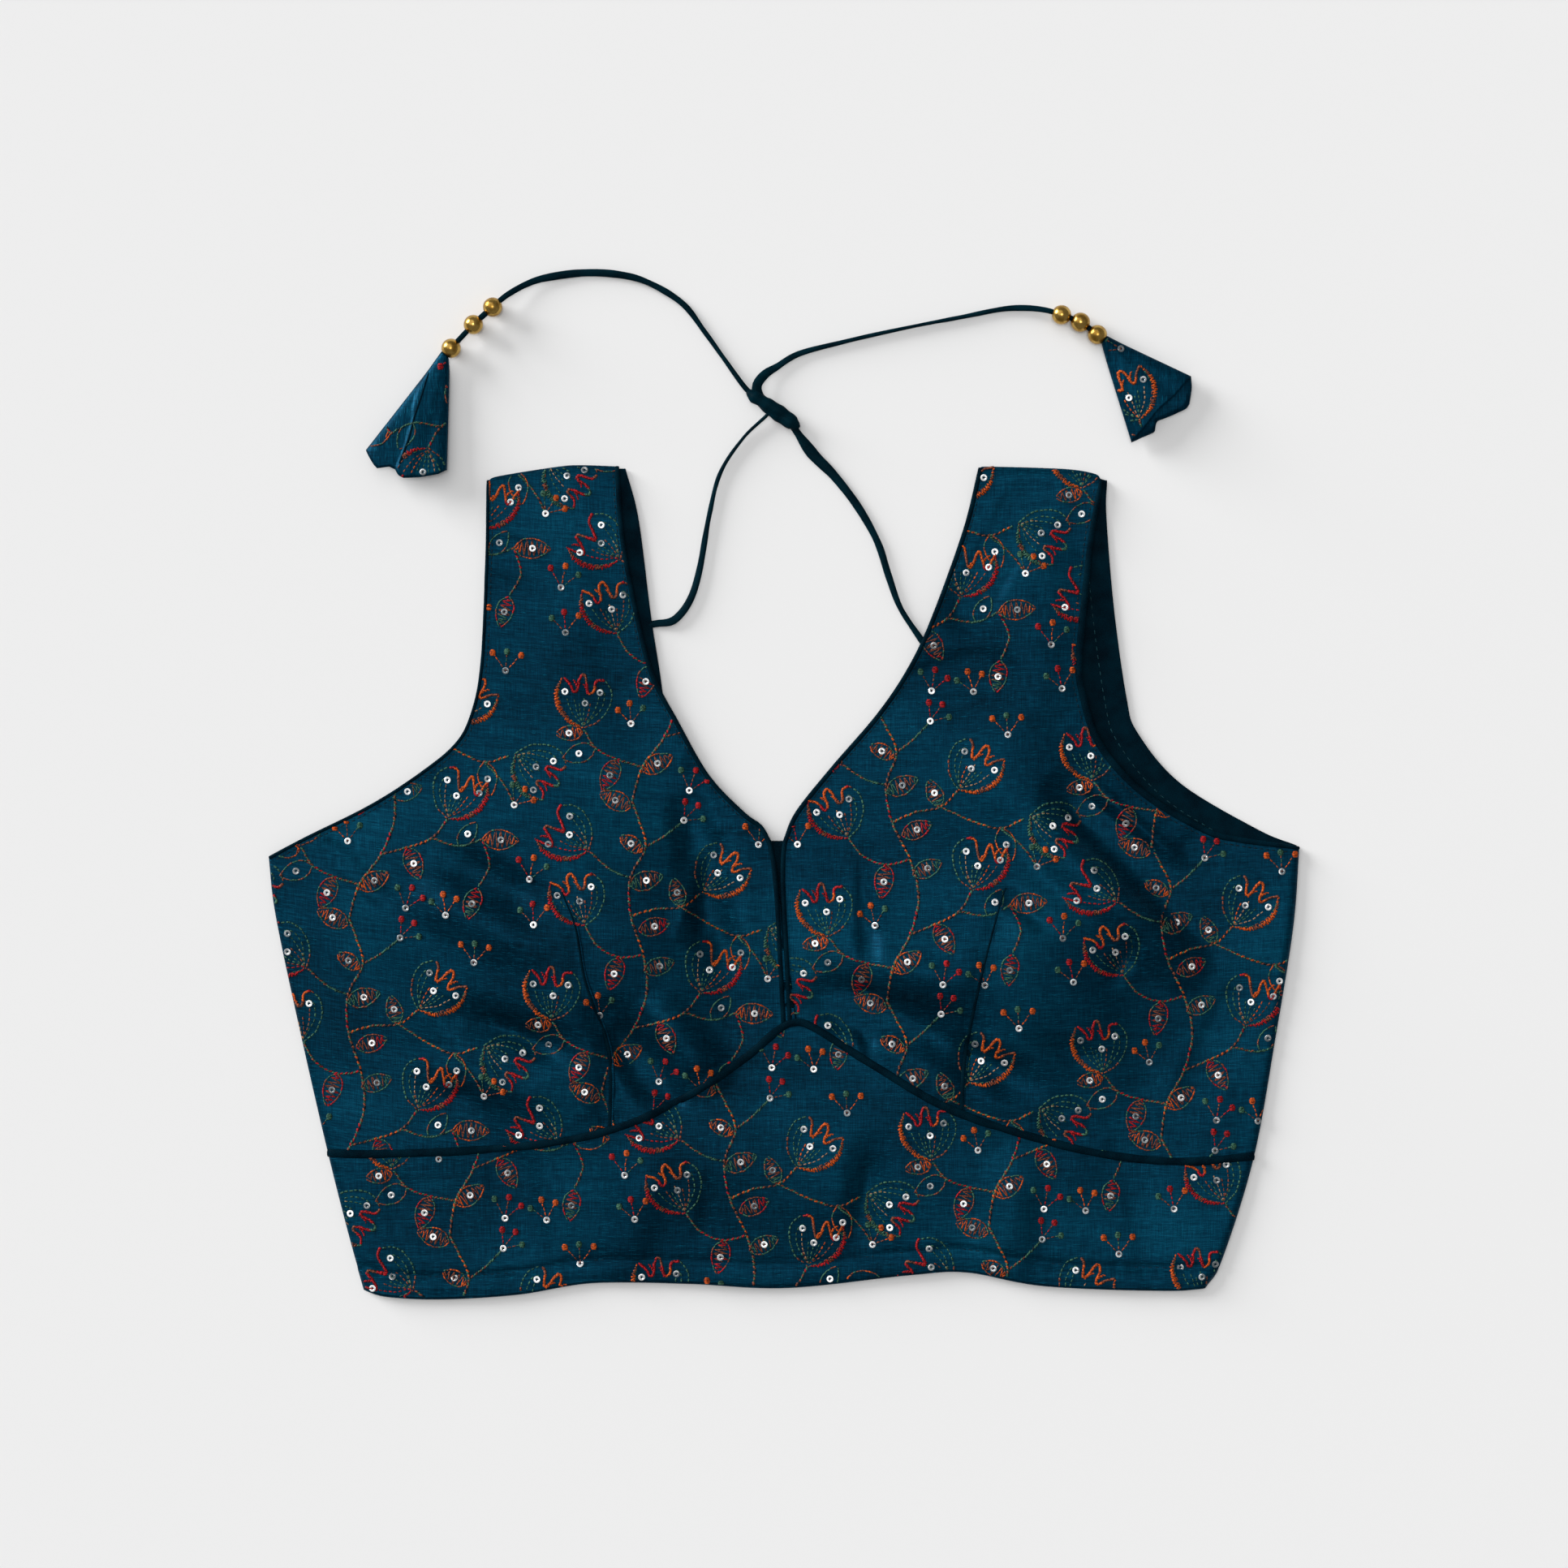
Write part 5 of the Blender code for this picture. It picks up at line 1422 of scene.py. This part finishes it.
def stitch_piece(name, ends, half_widths, lifts, threads, level, facing=1.0):
    """Each stitch is a small rounded grain of thread laid on the cloth."""
    a, b = ends[:, 0], ends[:, 1]
    step = b - a
    aside = np.column_stack([-step[:, 1], step[:, 0]]) / np.linalg.norm(step, axis=1)[:, None]
    sunk = 0.12
    rows = []

    def add_row(part, across, height):
        place = a + step * part + aside * (across * half_widths)[:, None]
        z = level(*place.T) + facing * height
        rows.append(np.column_stack([place, z]))

    lifts = lifts if facing > 0 else 0.3 * lifts
    add_row(0.0, 0.0, -0.02 + 0.0 * lifts)
    for part in (0.18, 0.82):
        add_row(part, -1.0, 0.3 * lifts)
        add_row(part, 0.0, lifts)
        add_row(part, 1.0, 0.3 * lifts)
        add_row(part, 0.0, -sunk + 0.0 * lifts)
    add_row(1.0, 0.0, -0.02 + 0.0 * lifts)
    vertices = np.stack(rows, axis=1).reshape(-1, 3)
    faces = [(0, 2, 1), (0, 3, 2), (0, 4, 3), (0, 1, 4), (9, 5, 6), (9, 6, 7), (9, 7, 8),
             (9, 8, 5)]
    quads = [(1, 2, 6, 5), (2, 3, 7, 6), (3, 4, 8, 7), (4, 1, 5, 8)]
    if facing < 0:
        faces = [face[::-1] for face in faces]
        quads = [face[::-1] for face in quads]
    starts = np.arange(len(ends)) * 10
    triangles = (starts[:, None, None] + np.array(faces)).reshape(-1, 3).tolist()
    sides = (starts[:, None, None] + np.array(quads)).reshape(-1, 4).tolist()
    materials = np.concatenate([np.repeat(threads, 8), np.repeat(threads, 4)])
    return finish_piece(name, vertices, triangles + sides, THREADS,
                        face_materials=materials)


SEQUIN_PROFILE = [(0.52, 0.14), (0.95, 0.14), (1.46, 0.32), (1.5, 0.24), (0.95, 0.05),
                  (0.52, 0.05)]


def sequin_piece(name, centres, level, facing, seed):
    """Cupped sequins with a hole, tilted a little."""
    generator = np.random.default_rng(seed)
    sides = 14
    nudge = 0.8
    x, y = centres.T
    z = level(x, y)
    slope = np.column_stack([(level(x + nudge, y) - level(x - nudge, y)),
                             (level(x, y + nudge) - level(x, y - nudge))]) / (2 * nudge)
    slope = slope + generator.normal(0.0, 0.1, slope.shape)
    angle = 2 * np.pi * np.arange(sides) / sides
    lift = 0.3 if facing > 0 else 0.02
    rings = []
    for radius, height in SEQUIN_PROFILE:
        across = radius * np.cos(angle)[None]
        up = radius * np.sin(angle)[None]
        lifted = z[:, None] + facing * (height + lift) + slope[:, :1] * across + slope[:, 1:] * up
        rings.append(np.stack([x[:, None] + across, y[:, None] + up, lifted], axis=-1))
    vertices = np.stack(rings, axis=1).reshape(-1, 3)
    count = len(SEQUIN_PROFILE)
    faces = []
    for row in range(count):
        for side in range(sides):
            after = (side + 1) % sides
            below = (row + 1) % count
            faces.append((row * sides + side, below * sides + side, below * sides + after,
                          row * sides + after))
    faces = np.array(faces)
    if facing < 0:
        faces = faces[:, ::-1]
    starts = np.arange(len(centres)) * count * sides
    faces = (starts[:, None, None] + faces).reshape(-1, 4).tolist()
    return finish_piece(name, vertices, faces, [foil])


def embroider(name, outline, offset, tilt, level, facing=1.0, seed=1):
    """Cover a panel with the design, cut off at the panel's own edges."""
    ends = repeated(tile_ends, offset, tilt)
    traits = np.tile(tile_traits, (len(ends) // len(tile_ends), 1))
    kept = inside_outline(ends[:, 0], outline) & inside_outline(ends[:, 1], outline)
    ends, traits = ends[kept], traits[kept]
    stitch_piece(f"embroidery_{name}", ends, traits[:, 0], traits[:, 1],
                 traits[:, 2].astype(np.int32), level, facing)
    sequins = repeated(tile_sequins, offset, tilt)
    margin = 1.4 * np.array([[1, 0], [-1, 0], [0, 1], [0, -1]])
    kept = np.all([inside_outline(sequins + shift, outline) for shift in margin], axis=0)
    sequins = sequins[kept]
    sequin_piece(f"sequins_{name}", sequins, level, facing, seed)
    reach = np.array([1.35, 0.0])
    held = np.stack([sequins, sequins + reach], axis=1)
    raised = np.full(len(held), 0.62)
    stitch_piece(f"sequin_threads_{name}", held, np.full(len(held), 0.24), raised,
                 np.full(len(held), NAVY), level, facing)


embroider("cup_left", outline_of(front_grids["left"]), (-52.0, -30.0), -6.0, cup_top, seed=11)
embroider("cup_right", outline_of(front_grids["right"]), (62.0, 12.0), 2.0, cup_top, seed=12)
embroider("belt", outline_of(the_belt_grid), (-8.0, -150.0), 1.0, belt_top, seed=13)
embroider("back_left", outline_of(back_grids["left"]), (-70.0, 5.0), 0.0, back_under, -1.0, 14)
embroider("back_right", outline_of(back_grids["right"]), (52.0, -40.0), 0.0, back_under, -1.0, 15)


def embroider_tassel(tassel, offset, tilt, seed):
    """Stitches and sequins on whichever layer of a tassel shows from above."""
    surface = tassel_surfaces[tassel.name]
    far_above, missing = 50.0, -99.0

    def level(x, y):
        heights = []
        for across, up in zip(np.ravel(x), np.ravel(y)):
            hit = surface.ray_cast((across, up, far_above), (0.0, 0.0, -1.0))[0]
            heights.append(missing if hit is None else hit[2])
        return np.array(heights)

    def on_cloth(points, room):
        middle = level(*points.T)
        spots = [points + shift for shift in room * np.array([[1, 0], [-1, 0], [0, 1], [0, -1]])]
        heights = np.array([level(*spot.T) for spot in spots])
        return np.all(np.abs(heights - middle) < 1.1, axis=0) & (middle > missing)

    corner = np.array([tassel.left_tip, tassel.right_tip, tassel.cord_end[-1][:2]])
    centre, reach = corner.mean(axis=0), 46.0
    ends = repeated(tile_ends, offset, tilt)
    traits = np.tile(tile_traits, (len(ends) // len(tile_ends), 1))
    near = np.all(np.linalg.norm(ends - centre, axis=2) < reach, axis=1)
    ends, traits = ends[near], traits[near]
    kept = on_cloth(ends[:, 0], 0.6) & on_cloth(ends[:, 1], 0.6)
    kept &= np.abs(level(*ends[:, 0].T) - level(*ends[:, 1].T)) < 1.1
    ends, traits = ends[kept], traits[kept]
    stitch_piece(f"embroidery_{tassel.name}", ends, traits[:, 0], traits[:, 1],
                 traits[:, 2].astype(np.int32), level)
    sequins = repeated(tile_sequins, offset, tilt)
    sequins = sequins[np.linalg.norm(sequins - centre, axis=1) < reach]
    sequins = sequins[on_cloth(sequins, 1.7)]
    sequin_piece(f"sequins_{tassel.name}", sequins, level, 1.0, seed)


embroider_tassel(TASSELS[0], (-133.9, 171.2), -177.0, 16)
embroider_tassel(TASSELS[1], (168.2, 172.1), 58.0, 17)


# Plain stitching.

def stitch_line(name, curve, level, stitch=2.0, pitch=3.0, half_width=0.2, lift=0.16,
                thread=NAVY):
    """A line of plain machine stitches."""
    length = lengths_along(curve)[-1]
    starts = np.arange(0.0, length - pitch, pitch)
    ends = np.stack([sampled(curve, starts / length),
                     sampled(curve, (starts + stitch) / length)], axis=1)
    count = len(ends)
    stitch_piece(name, ends, np.full(count, half_width), np.full(count, lift),
                 np.full(count, thread), level)


TASSEL_FOLD = [(-152.8, 219.0), (-155.6, 209.0), (-158.6, 199.6), (-160.8, 190.8),
               (-164.8, 179.5)]


def add_stitching():
    stitch_line("hem_stitching", HEM_STITCH_CURVE[2:-2], belt_top)
    edges = (("neck_left", NECK_LEFT_CURVE, 1), ("neck_right", NECK_RIGHT_CURVE, -1),
             ("armhole_left", ARMHOLE_LEFT_CURVE, -1), ("armhole_right", ARMHOLE_RIGHT_CURVE, 1))
    for name, curve, inward in edges:
        line = sampled(moved_aside(curve, inward * EDGE_STITCH), even(200))
        stitch_line(f"edge_stitching_{name}", line[2:-2], cup_top, 1.8, 2.6)
    for number, points in enumerate(DARTS, 1):
        line = sampled(smooth_curve(points, 8), even(80))
        taper = np.sqrt(np.clip(1.05 - even(80), 0, 1))
        beside = [cup_top(*moved_aside(line, reach).T) for reach in (-1.5, 1.5)]
        tube_piece(f"dart_shadow_{number}", np.column_stack([line, np.maximum(*beside) - 0.15]),
                   0.25 + 0.7 * taper ** 2, 0.3, lining)
        lip = moved_aside(line, -0.95)
        tube_piece(f"dart_lip_{number}", laid_on(lip, cup_top, -0.15), 0.85 * taper + 0.05,
                   0.55 * taper + 0.02, silk)
    fold = sampled(smooth_curve(TASSEL_FOLD), even(40))
    surface = tassel_surfaces["tassel_left"]
    hits = [surface.ray_cast((across, up, 50.0), (0.0, 0.0, -1.0))[0] for across, up in fold]
    level = np.array([hit[2] for hit in hits]) + 0.05
    tube_piece("tassel_fold_shadow", np.column_stack([fold, level]),
               0.15 + 0.4 * even(40) ** 0.5, 0.25, lining)
    inner = moved_aside(smooth_curve(BACK_RIGHT_ARMHOLE), 9.5)
    stitch_line("back_armhole_stitching", inner, back_top, 2.2, 3.6, 0.24, thread=TEAL)


add_stitching()


# Stage.

def add_stage():
    floor_size, floor_level = 8.0, -0.0004
    half = floor_size / 2
    mesh = bpy.data.meshes.new("floor")
    mesh.from_pydata([(-half, -half, floor_level), (half, -half, floor_level),
                      (half, half, floor_level), (-half, half, floor_level)], [], [(0, 1, 2, 3)])
    floor = bpy.data.objects.new("floor", mesh)
    bpy.context.scene.collection.objects.link(floor)
    material, nodes, links, shader = new_material("pale_floor")
    shader.inputs["Base Color"].default_value = (0.84, 0.84, 0.84, 1.0)
    shader.inputs["Roughness"].default_value = 0.9
    shader.inputs["Specular IOR Level"].default_value = 0.1
    mesh.materials.append(material)


def add_light(name, direction, spread, strength):
    """A far soft light that shines from a direction, its spread in degrees."""
    data = bpy.data.lights.new(name, "SUN")
    data.angle = math.radians(spread)
    data.energy = strength
    light = bpy.data.objects.new(name, data)
    light.location = direction
    across = math.hypot(direction[0], direction[1])
    light.rotation_euler = (math.atan2(across, direction[2]), 0.0,
                            math.atan2(direction[1], direction[0]) + math.pi / 2)
    bpy.context.scene.collection.objects.link(light)


def add_camera():
    data = bpy.data.cameras.new("camera")
    data.sensor_width = SENSOR_WIDTH
    data.lens = SENSOR_WIDTH * CAMERA_HEIGHT / VIEW_WIDTH
    camera = bpy.data.objects.new("camera", data)
    camera.location = (0.0, VIEW_CENTRE_UP, CAMERA_HEIGHT)
    bpy.context.scene.collection.objects.link(camera)
    bpy.context.scene.camera = camera


def add_world():
    world = bpy.data.worlds.new("studio")
    world.use_nodes = True
    background = world.node_tree.nodes["Background"]
    background.inputs["Color"].default_value = (1.0, 1.0, 1.0, 1.0)
    background.inputs["Strength"].default_value = 0.26
    bpy.context.scene.world = world
    bpy.context.scene.view_settings.view_transform = "Standard"


add_stage()
add_world()
add_light("key", (-0.85, 0.52, 0.235), 30.0, 4.4)
add_light("side", (-0.4, 0.4, 1.0), 60.0, 0.78)
add_light("overhead", (0.0, -0.02, 1.0), 16.0, 0.68)
add_camera()
